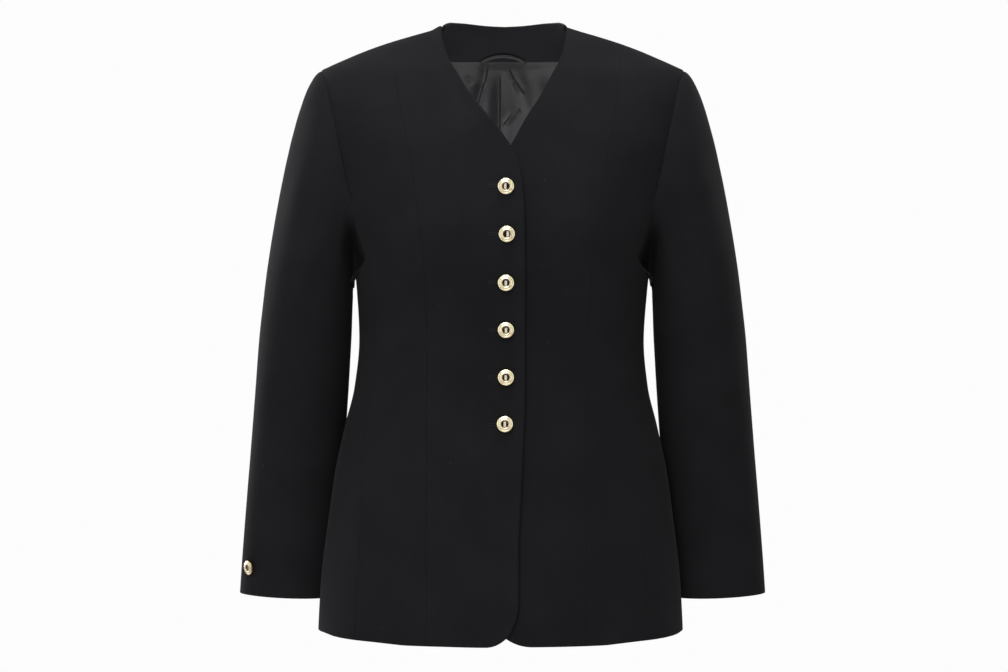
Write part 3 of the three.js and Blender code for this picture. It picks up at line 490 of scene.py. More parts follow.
def socket_of(sockets, key):
    if isinstance(key, int):
        return sockets[key]
    return next((s for s in sockets if s.identifier == key), None) or sockets[key]


def node(tree, kind, settings=None, **inputs):
    """Adds a node. inputs are sockets or values, by name with __ for a space, or by number as i0."""
    made = tree.nodes.new(kind)
    for key, value in (settings or {}).items():
        setattr(made, key, value)
    for key, value in inputs.items():
        numbered = key[0] == "i" and key[1:].isdigit()
        target = socket_of(made.inputs, int(key[1:]) if numbered else key.replace("__", " "))
        if isinstance(value, bpy.types.NodeSocket):
            tree.links.new(value, target)
        else:
            target.default_value = value
    return made


def new_group(name, kind, inputs, outputs):
    tree = bpy.data.node_groups.new(name, kind)
    for label, socket_type, value in inputs:
        made = tree.interface.new_socket(label, in_out="INPUT", socket_type=socket_type)
        if value is not None:
            made.default_value = value
    for label, socket_type in outputs:
        tree.interface.new_socket(label, in_out="OUTPUT", socket_type=socket_type)
    return tree, tree.nodes.new("NodeGroupInput"), tree.nodes.new("NodeGroupOutput")


def maths(tree, operation, a, b=0.0):
    return node(tree, "ShaderNodeMath", {"operation": operation}, i0=a, i1=b).outputs[0]


def set_values(made, values):
    for label, value in values.items():
        made.inputs[label].default_value = value
    return made


def grouped(tree, group, values, **inputs):
    return set_values(node(tree, "ShaderNodeGroup", {"node_tree": group}, **inputs), values)


def blend(tree, share, low, high):
    """The colour part of the way between two others."""
    ends = {"A_Color": low, "B_Color": high}
    made = node(tree, "ShaderNodeMix", {"data_type": "RGBA"}, Factor_Float=share, **ends)
    return socket_of(made.outputs, "Result_Color")


def new_finish(name, values):
    """A material with its tree and its shader, whose constant values are set."""
    material = bpy.data.materials.new(name)
    material.use_nodes = True
    tree = material.node_tree
    return material, tree, set_values(tree.nodes["Principled BSDF"], values)


def emboss(tree, shader, height, strength, distance):
    relief = node(tree, "ShaderNodeBump", Strength=strength, Distance=distance, Height=height)
    tree.links.new(relief.outputs[0], shader.inputs["Normal"])


print("node helpers ready")

# %% [markdown]
# ### Twill weave
# Fine suiting is woven in a twill: threads step over one another along a diagonal. Two crossed
# waves on the cloth's own lengths give the threads, and a third gives the diagonal ribs.

# %% The weave group
weave, weave_in, weave_out = new_group(
    "twill_weave",
    "ShaderNodeTree",
    [("Cloth", "NodeSocketVector", None), ("Threads per metre", FLOAT, 2200.0), ("Rib", FLOAT, 0.6)],
    [("Height", FLOAT)],
)
split = node(weave, "ShaderNodeSeparateXYZ", i0=weave_in.outputs["Cloth"])
turns = maths(weave, "MULTIPLY", weave_in.outputs["Threads per metre"], 2 * math.pi)
across = maths(weave, "MULTIPLY", split.outputs["X"], turns)
along = maths(weave, "MULTIPLY", split.outputs["Y"], turns)
crossed = maths(weave, "MULTIPLY", maths(weave, "SINE", across), maths(weave, "SINE", along))
both = maths(weave, "SINE", maths(weave, "ADD", across, along))
ribs = maths(weave, "MULTIPLY", both, weave_in.outputs["Rib"])
weave.links.new(maths(weave, "ADD", crossed, ribs), weave_out.inputs["Height"])
print("weave group:", len(weave.nodes), "nodes")

# %% [markdown]
# ### Nap and tone
# Wool is brushed and pressed, so its face is slightly clouded and carries a few pale fibres. Two
# sizes of noise give the cloud, and the sparse peaks of a third give the fibres.

# %% The nap group
nap, nap_in, nap_out = new_group(
    "nap_and_tone",
    "ShaderNodeTree",
    [("Cloud size", FLOAT, 22.0), ("Nap size", FLOAT, 900.0), ("Lint", FLOAT, 0.0)],
    [("Tone", FLOAT), ("Nap", FLOAT), ("Fibre", FLOAT)],
)
here = node(nap, "ShaderNodeTexCoord").outputs["Object"]
cloud = node(nap, "ShaderNodeTexNoise", Vector=here, Scale=nap_in.outputs["Cloud size"], Detail=3.0)
fuzz = node(nap, "ShaderNodeTexNoise", Vector=here, Scale=nap_in.outputs["Nap size"], Detail=2.0)
specks = node(nap, "ShaderNodeTexNoise", Vector=here, Scale=420.0, Detail=1.0)
peaks = node(nap, "ShaderNodeMapRange", Value=specks.outputs[0], From__Min=0.76, From__Max=0.84)
tone = node(nap, "ShaderNodeMapRange", Value=cloud.outputs[0], From__Min=0.3, From__Max=0.7)
fibres = maths(nap, "MULTIPLY", peaks.outputs[0], nap_in.outputs["Lint"])
for source, label in ((tone.outputs[0], "Tone"), (fuzz.outputs[0], "Nap"), (fibres, "Fibre")):
    nap.links.new(source, nap_out.inputs[label])
print("nap group:", len(nap.nodes), "nodes")

# %% [markdown]
# ### Cloth finishes
# The outer wool is nearly black with a soft sheen where it turns away. The lining is a charcoal
# satin, smoother and brighter, which is why its folds shine. Sewing thread is a little paler.

# %% Wool, satin and thread


def cloth_finish(name, dark, light, fibre, surface, weave_values, nap_values, bump):
    labels = ("Roughness", "Specular IOR Level", "Sheen Weight", "Sheen Roughness")
    material, tree, shader = new_finish(name, dict(zip(labels, surface)))
    lengths = node(tree, "ShaderNodeUVMap", {"uv_map": "cloth"})
    threads = grouped(tree, weave, weave_values, Cloth=lengths.outputs[0])
    face = grouped(tree, nap, nap_values)
    clouded = blend(tree, face.outputs["Tone"], dark, light)
    tree.links.new(blend(tree, face.outputs["Fibre"], clouded, fibre), shader.inputs["Base Color"])
    woven = maths(tree, "MULTIPLY", threads.outputs["Height"], bump["weave"])
    brushed = maths(tree, "MULTIPLY", face.outputs["Nap"], bump["nap"])
    emboss(tree, shader, maths(tree, "ADD", woven, brushed), bump["strength"], bump["distance"])
    return material


WOOL = cloth_finish(
    "black_wool",
    (0.0155, 0.0157, 0.0172, 1),
    (0.0185, 0.0188, 0.0205, 1),
    (0.09, 0.09, 0.095, 1),
    (0.9, 0.02, 0.02, 0.4),
    {"Threads per metre": 2200.0, "Rib": 0.8},
    {"Cloud size": 18.0, "Nap size": 1100.0, "Lint": 0.5},
    {"weave": 0.35, "nap": 1.0, "strength": 0.25, "distance": 0.0002},
)
SATIN = cloth_finish(
    "charcoal_satin",
    (0.0145, 0.0147, 0.016, 1),
    (0.0185, 0.0188, 0.0203, 1),
    (0.06, 0.06, 0.065, 1),
    (0.48, 0.2, 0.05, 0.3),
    {"Threads per metre": 5200.0, "Rib": 1.4},
    {"Cloud size": 30.0, "Nap size": 500.0, "Lint": 0.0},
    {"weave": 0.3, "nap": 0.6, "strength": 0.15, "distance": 0.0002},
)
THREAD = cloth_finish(
    "black_thread",
    (0.012, 0.012, 0.013, 1),
    (0.019, 0.019, 0.020, 1),
    (0.03, 0.03, 0.03, 1),
    (0.6, 0.25, 0.05, 0.4),
    {"Threads per metre": 2500.0, "Rib": 0.5},
    {"Cloud size": 400.0, "Nap size": 3000.0, "Lint": 0.0},
    {"weave": 0.2, "nap": 0.8, "strength": 0.2, "distance": 0.0001},
)
print("cloth finishes:", WOOL.name, SATIN.name, THREAD.name)

# %% [markdown]
# ## Patches for the fronts and backs
# The fronts and backs are cut in two pieces each side of a princess seam or a centre seam. Below
# the underarm their rows are level. Above it, each piece is a patch with four curved sides: the
# Coons formula fills a patch smoothly from its edges, as a cutter grades from edge to edge. The
# hem isn't quite level: it sags a little in front and lifts at the sides.

# %% Rows and patches
STEP = 5.2  # distance between rows below the underarm, in millimetres
BELOW = np.concatenate([HEM_Z + CROWD, np.arange(HEM_Z + 5, SIDE_TOP_Z - 2, STEP)])
UPPER_HEIGHT = 235.0
UPPER_ROWS = 42
# drops below the shoulder line; the cloth is level there, so rows lie apart by the drop's root
RIDGE_CROWD = np.array([1e-7, 5e-5, 4e-4, 0.002, 0.006, 0.02, 0.07, 0.19, 0.42, 0.8, 1.5, 2.8])
UPPER_TOP = 1 - RIDGE_CROWD[::-1] / UPPER_HEIGHT
UPPER = np.concatenate([np.linspace(0, UPPER_TOP[0], UPPER_ROWS + 1)[:-1], UPPER_TOP])


def coons(left, right, bottom, top, s, v):
    """Fills a patch from four edges, each a function that gives (x, z) for a share."""
    corners = [edge(np.array(end)) for edge in (bottom, top) for end in (0.0, 1.0)]
    place = []
    for part in (0, 1):
        sides = (1 - s) * left(v)[part] + s * right(v)[part]
        ends = (1 - v) * bottom(s)[part] + v * top(s)[part]
        both = (1 - s) * (1 - v) * corners[0][part] + s * (1 - v) * corners[1][part]
        both = both + (1 - s) * v * corners[2][part] + s * v * corners[3][part]
        place.append(sides + ends - both)
    return place


def edge_up(x_at, top):
    """An edge from the underarm's level up to top, as a function that gives (x, z)."""

    def edge(t):
        height = mix(SIDE_TOP_Z, top, t)
        return x_at(height), height

    return edge


def along_shoulder(first_x, last_x):
    def edge(t):
        across = mix(first_x, last_x, t)
        return across, shoulder_z(across)

    return edge


def upper_panel(left, right, top, columns, **crowding):
    """Places above the underarm between two edges and the shoulder."""
    v = UPPER[:, None]
    (left_x, left_z), (right_x, right_z) = left(v), right(v)
    s = shares(np.hypot(left_x - right_x, left_z - right_z)[:, 0], columns, **crowding)

    def level(t):
        return mix(left(0.0)[0], right(0.0)[0], t), SIDE_TOP_Z + 0 * t

    return (*coons(left, right, level, top, s, v), s)


def stack_rows(lower, upper):
    return (np.concatenate([a + 0 * lower[-1], b + 0 * upper[-1]]) for a, b in zip(lower, upper))


print(len(BELOW), "rows below the underarm,", len(UPPER), "above")

# %% Places on the creased cloth
CREASES_FADE = (0.02, 0.4)
HEM_RISE_FADES = 110.0
# distance from the centre against how far the hem rises
HEM_RISE = SizeTable(
    ("rise",),
    [(0, -3.5), (112, -3.3), (129, -2.3), (150, -1.1), (180, 0), (197, 1.3), (207, 3.2), (230, 3.6)],
)


def on_body(angle, z, side, lift=0.0):
    """Places on the creased cloth and the directions out of it."""
    point = body_point(angle, z, side)
    normal = body_normal(angle, z, side)
    x, height = point[..., 0], point[..., 2]
    front, back = (crease_height(table, x, height) for table in (FRONT_CREASES, BACK_CREASES))
    fade = ease(*CREASES_FADE, np.abs(np.cos(angle)))
    out = lift + np.where(np.cos(angle) > 0, front, back) * fade
    point = point + normal * out[..., None]
    near_hem = 1 - ease(0, HEM_RISE_FADES, point[..., 2] - HEM_Z)
    point[..., 2] += HEM_RISE("rise", np.abs(point[..., 0])) * near_hem
    return point, normal


def on_panel(x, z, side, back, lift=0.0):
    return on_body(angle_at(x, z, back), z, side, lift)


OVERLAP_LIFT = CLOTH + 1.3
OVERLAP_FADES = {"across": (25, 72), "up": (-125, -55)}


def front_lift(x, z, side):
    """The upper front lies over the lower one below the neck."""
    if side > 0:
        return np.zeros(np.broadcast(x, z).shape)
    across = 1 - ease(*OVERLAP_FADES["across"], x)
    return OVERLAP_LIFT * across * (1 - ease(*OVERLAP_FADES["up"], z))


PIECES = {}
SIDE_NAME = {-1: "right", 1: "left"}
HEM_TURN_UP = 40.0
PLAIN_ROLLS = (SEAM_ROLL, SEAM_ROLL, EDGE_ROLL, SEAM_ROLL)


def turned_up(z, hem=HEM_Z):
    """The finish inside: wool on the turned-up hem, satin above it."""
    return np.where(z < hem + HEM_TURN_UP, 0, 1)


def wool_piece(title, side, cut):
    name = f"{title}_{SIDE_NAME[side]}"
    points, normals, thickness, rolls, inside = cut
    finishes = [WOOL, SATIN]
    PIECES[name] = shell(f"{name}_wool", points, normals, thickness, rolls, finishes, inside)
    print(name, points.shape[:2])


print("the upper front lies", OVERLAP_LIFT, "mm out")

# %% [markdown]
# ## Fronts
# Each front runs from the princess seam to the front edge, and its hem corner is rounded. The edge
# of the upper front is thicker, since seam and facing are turned there, so it is padded out to a
# soft round lip that catches the light.

# %% Front panels
FRONT_COLUMNS = 18
FACING_SHARE = 0.3
EDGE_SWELL = {"out": 2.6, "reach": 15.0, "roll": 2.8}
CORNER_LIFT = CORNER_DROP * (1 - math.sqrt(0.5))  # height of the corner's curve at its middle
CORNER_FADES = 100.0
CORNER_TURNS = 40.0


def princess_seam(side):
    return edge_up(lambda z: SEAMS(LAP[side], z), princess_top(side))


def front_panel(side):
    z = BELOW[:, None]
    crowding = {"last": 0.0, "last_crowd": THICK_CROWD}
    fade = np.clip(1 - (z - HEM_Z) / CORNER_FADES, 0, 1) ** 2
    edge_x = front_edge_x(z + CORNER_LIFT * fade, side)
    seam_x = SEAMS(LAP[side], z)
    s = shares(seam_x[:, 0] - edge_x[:, 0], FRONT_COLUMNS, **crowding)
    x = mix(seam_x, edge_x, s)
    curve = np.minimum(hem_rise(x, side), CORNER_LIFT)
    rise = mix(curve, CORNER_LIFT * s**3, ease(0, CORNER_TURNS, z - HEM_Z)) * fade
    seam = princess_seam(side)
    edge = edge_up(lambda z: front_edge_x(z, side), NECK_POINT[1])
    shoulder = along_shoulder(seam(1.0)[0], NECK_POINT[0])
    upper = upper_panel(seam, edge, shoulder, FRONT_COLUMNS, **crowding)
    x, z, s = stack_rows((x, z + rise, s), upper)
    points, normals = on_panel(x, z, side, False, front_lift(x, z, side))
    inside = np.where(s > FACING_SHARE, 0, turned_up(z))
    if side > 0:
        return points, normals, CLOTH, (SEAM_ROLL, EDGE_ROLL, EDGE_ROLL, SEAM_ROLL), inside
    left = walked(points)[0]
    swell = EDGE_SWELL["out"] * (1 - ease(0, EDGE_SWELL["reach"], left[:, -1:] - left))
    rolls = (SEAM_ROLL, EDGE_SWELL["roll"], EDGE_ROLL, SEAM_ROLL)
    return points + normals * swell[..., None], normals, CLOTH + swell, rolls, inside


for side in SIDE_NAME:
    wool_piece("front", side, front_panel(side))

# %% [markdown]
# ## Side fronts, backs and the panels under the arms
# The side front runs from the princess seam to the armhole. The two backs meet in a centre seam.
# The panel under each arm ends in the scooped lower part of the armhole.

# %% Side fronts
SIDE_FRONT_COLUMNS = 13


def side_seam_x(seam, z):
    return SEAMS(seam, z) * BODY("half", z)


def armhole_edge(part):
    return edge_up(lambda z: ARMHOLE(part, z), SHOULDER_TIP[1])


def side_front_panel(side):
    z = BELOW[:, None]
    start, end = side_seam_x("side_front", z), SEAMS(LAP[side], z)
    s = shares((start - end)[:, 0], SIDE_FRONT_COLUMNS)
    seam = princess_seam(side)
    shoulder = along_shoulder(SHOULDER_TIP[0], seam(1.0)[0])
    upper = upper_panel(armhole_edge("front"), seam, shoulder, SIDE_FRONT_COLUMNS)
    x, z, _ = stack_rows((mix(start, end, s), z, s), upper)
    return *on_panel(x, z, side, False), CLOTH, PLAIN_ROLLS, turned_up(z)


for side in SIDE_NAME:
    wool_piece("side_front", side, side_front_panel(side))

# %% Backs
BACK_COLUMNS = 32
NECK_SHARE = 6 / 9
NECK_CROWD = 1.6
CENTRE_ROLL = SEAM_ROLL * 0.8


def back_top(t):
    """The back's upper edge: along the shoulder, then round the neck to the centre."""
    along = np.clip(t / NECK_SHARE, 0, 1)
    shoulder_x = mix(SHOULDER_TIP[0], NECK_POINT[0], along)
    neck = np.clip((t - NECK_SHARE) / (1 - NECK_SHARE), 0, 1)
    neck_x = NECK_POINT[0] * (1 - neck**NECK_CROWD)
    on_shoulder = t <= NECK_SHARE
    x = np.where(on_shoulder, shoulder_x, neck_x)
    return x, np.where(on_shoulder, shoulder_z(shoulder_x), BACK_NECK("z", neck_x))


def back_panel(side):
    z = BELOW[:, None]
    start = side_seam_x("side_back", z)
    s = shares(start[:, 0], BACK_COLUMNS)
    centre = edge_up(lambda z: 0.0 * z, BACK_NECK("z", 0.0))
    upper = upper_panel(armhole_edge("back"), centre, back_top, BACK_COLUMNS)
    x, z, _ = stack_rows((mix(start, 0.0, s), z, s), upper)
    rolls = (SEAM_ROLL, CENTRE_ROLL, EDGE_ROLL, SEAM_ROLL)
    return *on_panel(x, z, side, True), CLOTH, rolls, turned_up(z)


for side in SIDE_NAME:
    wool_piece("back", side, back_panel(side))

# %% Panels under the arms
SIDE_COLUMNS = 20
UNDERARM_Z = -291
UNDERARM_ROUND = 2.2
SIDE_BEND_Z = -380


def underarm_z(share):
    return UNDERARM_Z + (SIDE_TOP_Z - UNDERARM_Z) * np.abs(2 * share - 1) ** UNDERARM_ROUND


def side_angles(z):
    """Where the panel begins and ends, as angles round the coat."""
    seams = (("side_front", False), ("side_back", True))
    return (angle_at(side_seam_x(seam, z), z, back) for seam, back in seams)


def on_side(share, z, side):
    rise = np.clip((z - SIDE_BEND_Z) / (SIDE_TOP_Z - SIDE_BEND_Z), 0, 1)
    level = z + (underarm_z(share) - SIDE_TOP_Z) * rise
    return on_body(mix(*side_angles(z), share), level, side)


def side_panel(side):
    z = np.concatenate([BELOW, SIDE_TOP_Z - GAP - CROWD[::-1]])[:, None]
    start, end = (body_point(angle, z, side) for angle in side_angles(z))
    s = shares(np.linalg.norm(start - end, axis=-1)[:, 0], SIDE_COLUMNS)
    z = z + 0 * s
    return *on_side(s, z, side), CLOTH, PLAIN_ROLLS, turned_up(z)


for side in SIDE_NAME:
    wool_piece("side", side, side_panel(side))

# %% [markdown]
# ## Two-piece sleeves
# A tailored sleeve is an upper and an under piece on a bent axis, set into the armhole. Each ring
# of the sleeve is an oval; between the armhole and the upper arm a Hermite curve carries every
# point from the armhole's edge to the first oval, which rounds the sleeve head by itself. Angles
# go round the sleeve from next to the body over the front to the outer side and the back.

# %% Sleeve tables
SLEEVE = SizeTable(
    ("x", "y", "half", "deep"),
    [
        (-260, 222, -10, 51, 57),
        (-310, 227, -8, 51.9, 56),
        (-366, 231.8, -2, 54, 53),
        (-430, 236.8, 6, 54.8, 48),
        (-490, 242, 14, 55.2, 43),
        (-560, 248.6, 21, 55.2, 38),
        (-620, 253.8, 26, 55.2, 34),
        (-672, 257.6, 29, 55.2, 31),
        (-700, 259.4, 31, 55.2, 30),
    ],
)
CUFF_Z = -672
BICEPS_Z = -310
SLEEVE_SWING = 2.3
# share of the way up the armhole's front against degrees round the sleeve: below the chest the
# armhole is sewn to the side of the sleeve that lies next to the body
FRONT_TURN = SizeTable(
    ("degrees",),
    [(0, 0), (0.16, 4), (0.22, 7), (0.27, 10), (0.32, 15), (0.37, 25), (0.42, 40), (0.47, 57)]
    + [(0.52, 72), (0.67, 111), (0.83, 148), (1, 180)],
)
# degrees round the sleeve against how fully it tucks straight back there, behind the chest
TUCK = SizeTable(
    ("share",),
    [(0, 0.1), (2, 0.6), (4, 0.9), (7, 1), (15, 0.9), (25, 0.5), (40, 0.16), (57, 0.05), (80, 0), (360, 0)],
)
# depth against the height of the armhole's lowest stretch; the sleeve keeps outside the body below it
UNDERARM_EDGE = SizeTable(
    ("z",),
    [(-80, -268), (-67, -276), (-53, -285), (-38, -290), (-21, -291), (0, -289), (20, -284), (42, -270)],
)
CUFF_RISE = {"inner": 0.5, "outer": 5.5, "fades": 120.0, "round": 1.6}


def cuff_rise(angle, z):
    """The cuff slants up towards the outer side of the wrist."""
    outer = ((1 - np.cos(angle)) / 2) ** CUFF_RISE["round"]
    fade = 1 - ease(0, CUFF_RISE["fades"], z - CUFF_Z)
    return mix(CUFF_RISE["inner"], CUFF_RISE["outer"], outer) * fade


def sleeve_ring(angle, z, side):
    x = side * (SLEEVE("x", z) - SLEEVE("half", z) * np.cos(angle)) - SLEEVE_SWING
    y = SLEEVE("y", z) - SLEEVE("deep", z) * np.sin(angle)
    return np.stack([x, y, z + cuff_rise(angle, z)], -1)


print("sleeve from", BICEPS_Z, "to", CUFF_Z, "mm")

# %% Armhole rings
RING_STOPS = 84


def armhole_ring(side):
    """The armhole from the middle of the underarm over the front to the back and under again."""
    under = np.linspace(0.5, 0.0, RING_STOPS // 4)
    under_z = np.full_like(under, SIDE_TOP_Z)
    height = mix(SHOULDER_TIP[1], SIDE_TOP_Z, np.linspace(1, 0, RING_STOPS)[1:] ** 2)
    fall = height[-2::-1]
    parts = [
        on_side(under, under_z, side),
        on_panel(ARMHOLE("front", height), height, side, False),
        on_panel(ARMHOLE("back", fall), fall, side, True),
        on_side(1 - under[::-1], under_z, side),
    ]
    points, normals = (np.concatenate([part[k] for part in parts]) for k in (0, 1))
    tip = len(under) + len(height) - 1
    way = np.pad(np.cumsum(np.linalg.norm(np.diff(points, axis=0), axis=-1)), (1, 0))
    rear = math.pi * (1 + (way - way[tip]) / (way[-1] - way[tip]))
    front = np.radians(FRONT_TURN("degrees", np.minimum(way / way[tip], 1)))
    angles = np.where(np.arange(len(way)) <= tip, front, rear)
    return {"angles": angles, "points": points, "out": normals, "way": way}


def way_at(ring, angle):
    """Length walked round the armhole at an angle, more than once round where the angle is."""
    turns = np.floor(angle / (2 * math.pi))
    part = np.interp(np.mod(angle, 2 * math.pi), ring["angles"], ring["way"])
    return turns * ring["way"][-1] + part


def angle_by(ring, way):
    """The angle at a length walked, the other way about."""
    turns = np.floor(way / ring["way"][-1])
    part = np.interp(np.mod(way, ring["way"][-1]), ring["way"], ring["angles"])
    return turns * 2 * math.pi + part


def along_ring(ring, key, angle):
    turn = np.mod(angle, 2 * math.pi)
    return np.stack([np.interp(turn, ring["angles"], ring[key][:, k]) for k in range(3)], -1)


RINGS = {side: armhole_ring(side) for side in SIDE_NAME}
print("stops round each armhole:", len(RINGS[-1]["way"]))

# %% From the armhole to the cuff
SLEEVE_GAP = 0.08
CAP_SHARE = 0.42
CAP_PULL = {"under": 0.44, "over": 0.3, "arrive": 0.93}
# the way the cloth leaves the armhole: plain, more on the inner side, more on the outer side
LEAVE = {"aside": (0.62, -0.32, 0.38), "down": (0.4, 0.52, -0.24), "forward": 0.42}
TUCK_WAY = (0.1, 1.0, -0.1)
TUCK_PULL = 2.4
BODY_CLEARANCE = 3.0
CLEAR_SOFT = 2.0
CLEAR_OVER = 10.0
CLEAR_FROM = 0.25
ARRIVE_BELOW = 5


def leaving(angle, under, over, tuck, side):
    aside, down = (
        plain + inner * under + outer * over
        for plain, inner, outer in (LEAVE["aside"], LEAVE["down"])
    )
    leave = np.stack([side * aside, -LEAVE["forward"] * np.sin(angle), -down], -1)
    return unit(mix(unit(leave), np.array(TUCK_WAY) * (side, 1, 1), tuck))


def body_reach(y, z):
    """How far the body reaches sideways at this depth and height."""
    middle, square = BODY("side", z), BODY("square", z)
    depth = np.where(y < middle, BODY("front", z) + middle, BODY("back", z) - middle)
    share = np.minimum(np.abs(y - middle) / depth, 1)
    return BODY("half", z) * (1 - share**square) ** (1 / square)


def body_clearance(place, side):
    """How far to move outwards to clear the body, below the armhole's lowest stretch."""
    x, y, z = place[..., 0], place[..., 1], place[..., 2]
    inside = body_reach(y, z) + BODY_CLEARANCE - side * x - side * BODY("swing", z)
    softly = 0.5 * (inside + np.sqrt(inside**2 + CLEAR_SOFT**2))
    return softly * ease(-CLEAR_OVER, 0, UNDERARM_EDGE("z", y) - z)


def sleeve_point(ring, angle, v, side):
    angle, v = np.broadcast_arrays(angle, v)
    under, over = np.maximum(np.cos(angle), 0), np.maximum(-np.cos(angle), 0)
    tuck = TUCK("share", np.degrees(np.mod(angle, 2 * math.pi)))[..., None]
    leave = leaving(angle, under, over, tuck, side)
    clear = unit(leave + along_ring(ring, "out", angle) * under[..., None])
    start = along_ring(ring, "points", angle) + clear * SLEEVE_GAP
    end = sleeve_ring(angle, np.full_like(angle, BICEPS_Z), side)
    arrive = unit(sleeve_ring(angle, np.full_like(angle, BICEPS_Z - ARRIVE_BELOW), side) - end)
    span = np.linalg.norm(start - end, axis=-1)[..., None]
    t = np.clip(v / CAP_SHARE, 0, 1)[..., None]
    head = start * (2 * t**3 - 3 * t**2 + 1) + end * (3 * t**2 - 2 * t**3)
    pull = mix(CAP_PULL["under"], CAP_PULL["over"], over)[..., None] + TUCK_PULL * tuck
    head = head + leave * pull * span * (t**3 - 2 * t**2 + t)
    head = head + arrive * CAP_PULL["arrive"] * span * (t**3 - t**2)
    head[..., 0] += side * body_clearance(head, side) * under * ease(0, CLEAR_FROM, t[..., 0])
    z = mix(BICEPS_Z, CUFF_Z, np.clip((v - CAP_SHARE) / (1 - CAP_SHARE), 0, 1))
    return np.where(v[..., None] >= CAP_SHARE, sleeve_ring(angle, z, side), head)


print("the sleeve head takes", CAP_SHARE, "of each line from armhole to cuff")

# %% Sleeve creases
# degrees round the sleeve, z, to degrees, to z, half width, height
SLEEVE_CREASES = [
    (58, -250, 96, -352, 12, -1.3),
    (80, -262, 118, -372, 13, 1.0),
    (120, -118, 131, -232, 17, 1.0),
    (152, -160, 140, -300, 18, -1.1),
    (72, -400, 128, -446, 15, -1.2),
    (58, -440, 120, -500, 17, 1.1),
    (96, -520, 104, -640, 18, -1.0),
    (142, -430, 150, -610, 20, 1.0),
    (214, -180, 226, -310, 18, -1.3),
    (250, -260, 205, -360, 14, 1.2),
    (268, -330, 216, -402, 15, -1.4),
    (300, -420, 238, -470, 16, 1.2),
    (236, -520, 226, -650, 18, -1.1),
    (330, -360, 300, -520, 17, 1.0),
]
SLEEVE_RADIUS = 52.0
CAP_SETTLES = 0.05
CREASES_FROM = 0.12
NEAR_TURN = 0.03
NEAR_FALL = 0.004
CREASES_ROUND = [
    (math.radians(a) * SLEEVE_RADIUS, z, math.radians(b) * SLEEVE_RADIUS, *rest)
    for a, z, b, *rest in SLEEVE_CREASES
]


def sleeve_cloth(angle, v, side):
    ring = RINGS[side]
    point = sleeve_point(ring, angle, v, side)

    def across(turn, fall):
        after = sleeve_point(ring, angle + turn, np.minimum(v + fall, 1), side)
        return after - sleeve_point(ring, angle - turn, np.maximum(v - fall, 0), side)

    normal = -side * unit(np.cross(across(NEAR_TURN, 0), across(0, NEAR_FALL)))
    over = (0.5 - 0.5 * np.cos(angle)) * (1 - ease(0, CAP_SETTLES, v))
    normal = unit(mix(normal, along_ring(ring, "out", angle), over[..., None]))
    round_way = np.mod(angle, 2 * math.pi) * SLEEVE_RADIUS
    crease = crease_height(CREASES_ROUND, round_way, point[..., 2]) * ease(0, CREASES_FROM, v)
    return point + normal * crease[..., None], normal


print(len(SLEEVE_CREASES), "creases on each sleeve")

# %% Sleeve pieces
# degrees at the armhole and at the cuff where the two sleeve seams run
SLEEVE_SEAMS = {-1: ((11, 22), (262, 160)), 1: ((11, 22), (262, 226))}
SEAMS_SETTLE = 0.9
SLEEVE_COLUMNS = {"upper": 46, "under": 38}
SLEEVE_LENGTH = 620.0
SLEEVE_ROWS = 118
CAP_ROLL = 0.65


def sleeve_rows():
    top = CROWD / SLEEVE_LENGTH
    bottom = 1 - CROWD[::-1] / SLEEVE_LENGTH
    return np.concatenate([top, np.linspace(top[-1], bottom[0], SLEEVE_ROWS)[1:-1], bottom])


def sleeve_piece(side, part):
    ring = RINGS[side]
    v = sleeve_rows()[:, None]
    settle = ease(0, 1, np.minimum(v / SEAMS_SETTLE, 1))
    front, back = (np.radians(mix(float(top), cuff, settle)) for top, cuff in SLEEVE_SEAMS[side])
    first, last = (front, back) if part == "upper" else (back, front + 2 * math.pi)
    s = shares((last - first)[:, 0] * SLEEVE_RADIUS, SLEEVE_COLUMNS[part])
    walk = angle_by(ring, mix(way_at(ring, first), way_at(ring, last), s))
    angle = mix(walk, mix(first, last, s), ease(0, CAP_SHARE, v))
    points, normals = sleeve_cloth(angle, v + 0 * s, side)
    rolls = (SEAM_ROLL, SEAM_ROLL, CAP_ROLL, EDGE_ROLL)
    return points, normals, CLOTH, rolls, turned_up(points[..., 2], CUFF_Z)


for side in SIDE_NAME:
    for part in SLEEVE_COLUMNS:
        wool_piece(f"sleeve_{part}", side, sleeve_piece(side, part))

# %% [markdown]
# ## Inside the neck
# The back neck is faced with wool, a hanger loop is caught in the facing's seam, and below it hangs
# the satin lining. A pleat at the centre back gives the lining ease, and it falls in loose folds.
# Broad folds are soft ridges. A pleat is sharper: it swells up to its edge and drops at once on the
# other side, where the satin goes back under itself.

# %% Back neck facing
LAY = 0.5
FACING = 1.4
FACING_BOTTOM_Z = -27.5
FACING_REACH = 1.2
FACING_BOTTOM_X = 112.0
FACING_HIGH = 46.0
FACING_TOP = 0.985
FACING_COLUMNS = 61
FACING_ROWS = (0.08, 0.93, 12)
FACING_ROLLS = (0.6,) * 4


def across_back(x, z, where, lift):
    """Places behind the centre back's two halves; where is above nought on the left one."""
    left, right = (on_panel(x, z, side, True, lift) for side in (1, -1))
    return (np.where((where > 0)[..., None], a, b) for a, b in zip(left, right))


def back_facing():
    u = np.linspace(-FACING_REACH, FACING_REACH, FACING_COLUMNS)[None, :]
    crowd = CROWD / FACING_HIGH
    v = np.concatenate([crowd, np.linspace(*FACING_ROWS), FACING_TOP - crowd[::-1]])[:, None]
    away = np.abs(u)
    top_x, top_z = back_top(np.clip(1 - away * (1 - NECK_SHARE), 0, 1))
    x = mix(FACING_BOTTOM_X * away / FACING_REACH, top_x, v)
    return across_back(x, mix(FACING_BOTTOM_Z, top_z, v), u, -CLOTH - LAY)


points, normals = back_facing()
PIECES["back_neck_facing"] = shell(
    "back_neck_facing_wool", points, normals, FACING, FACING_ROLLS, [WOOL]
)
print("facing", points.shape[:2])

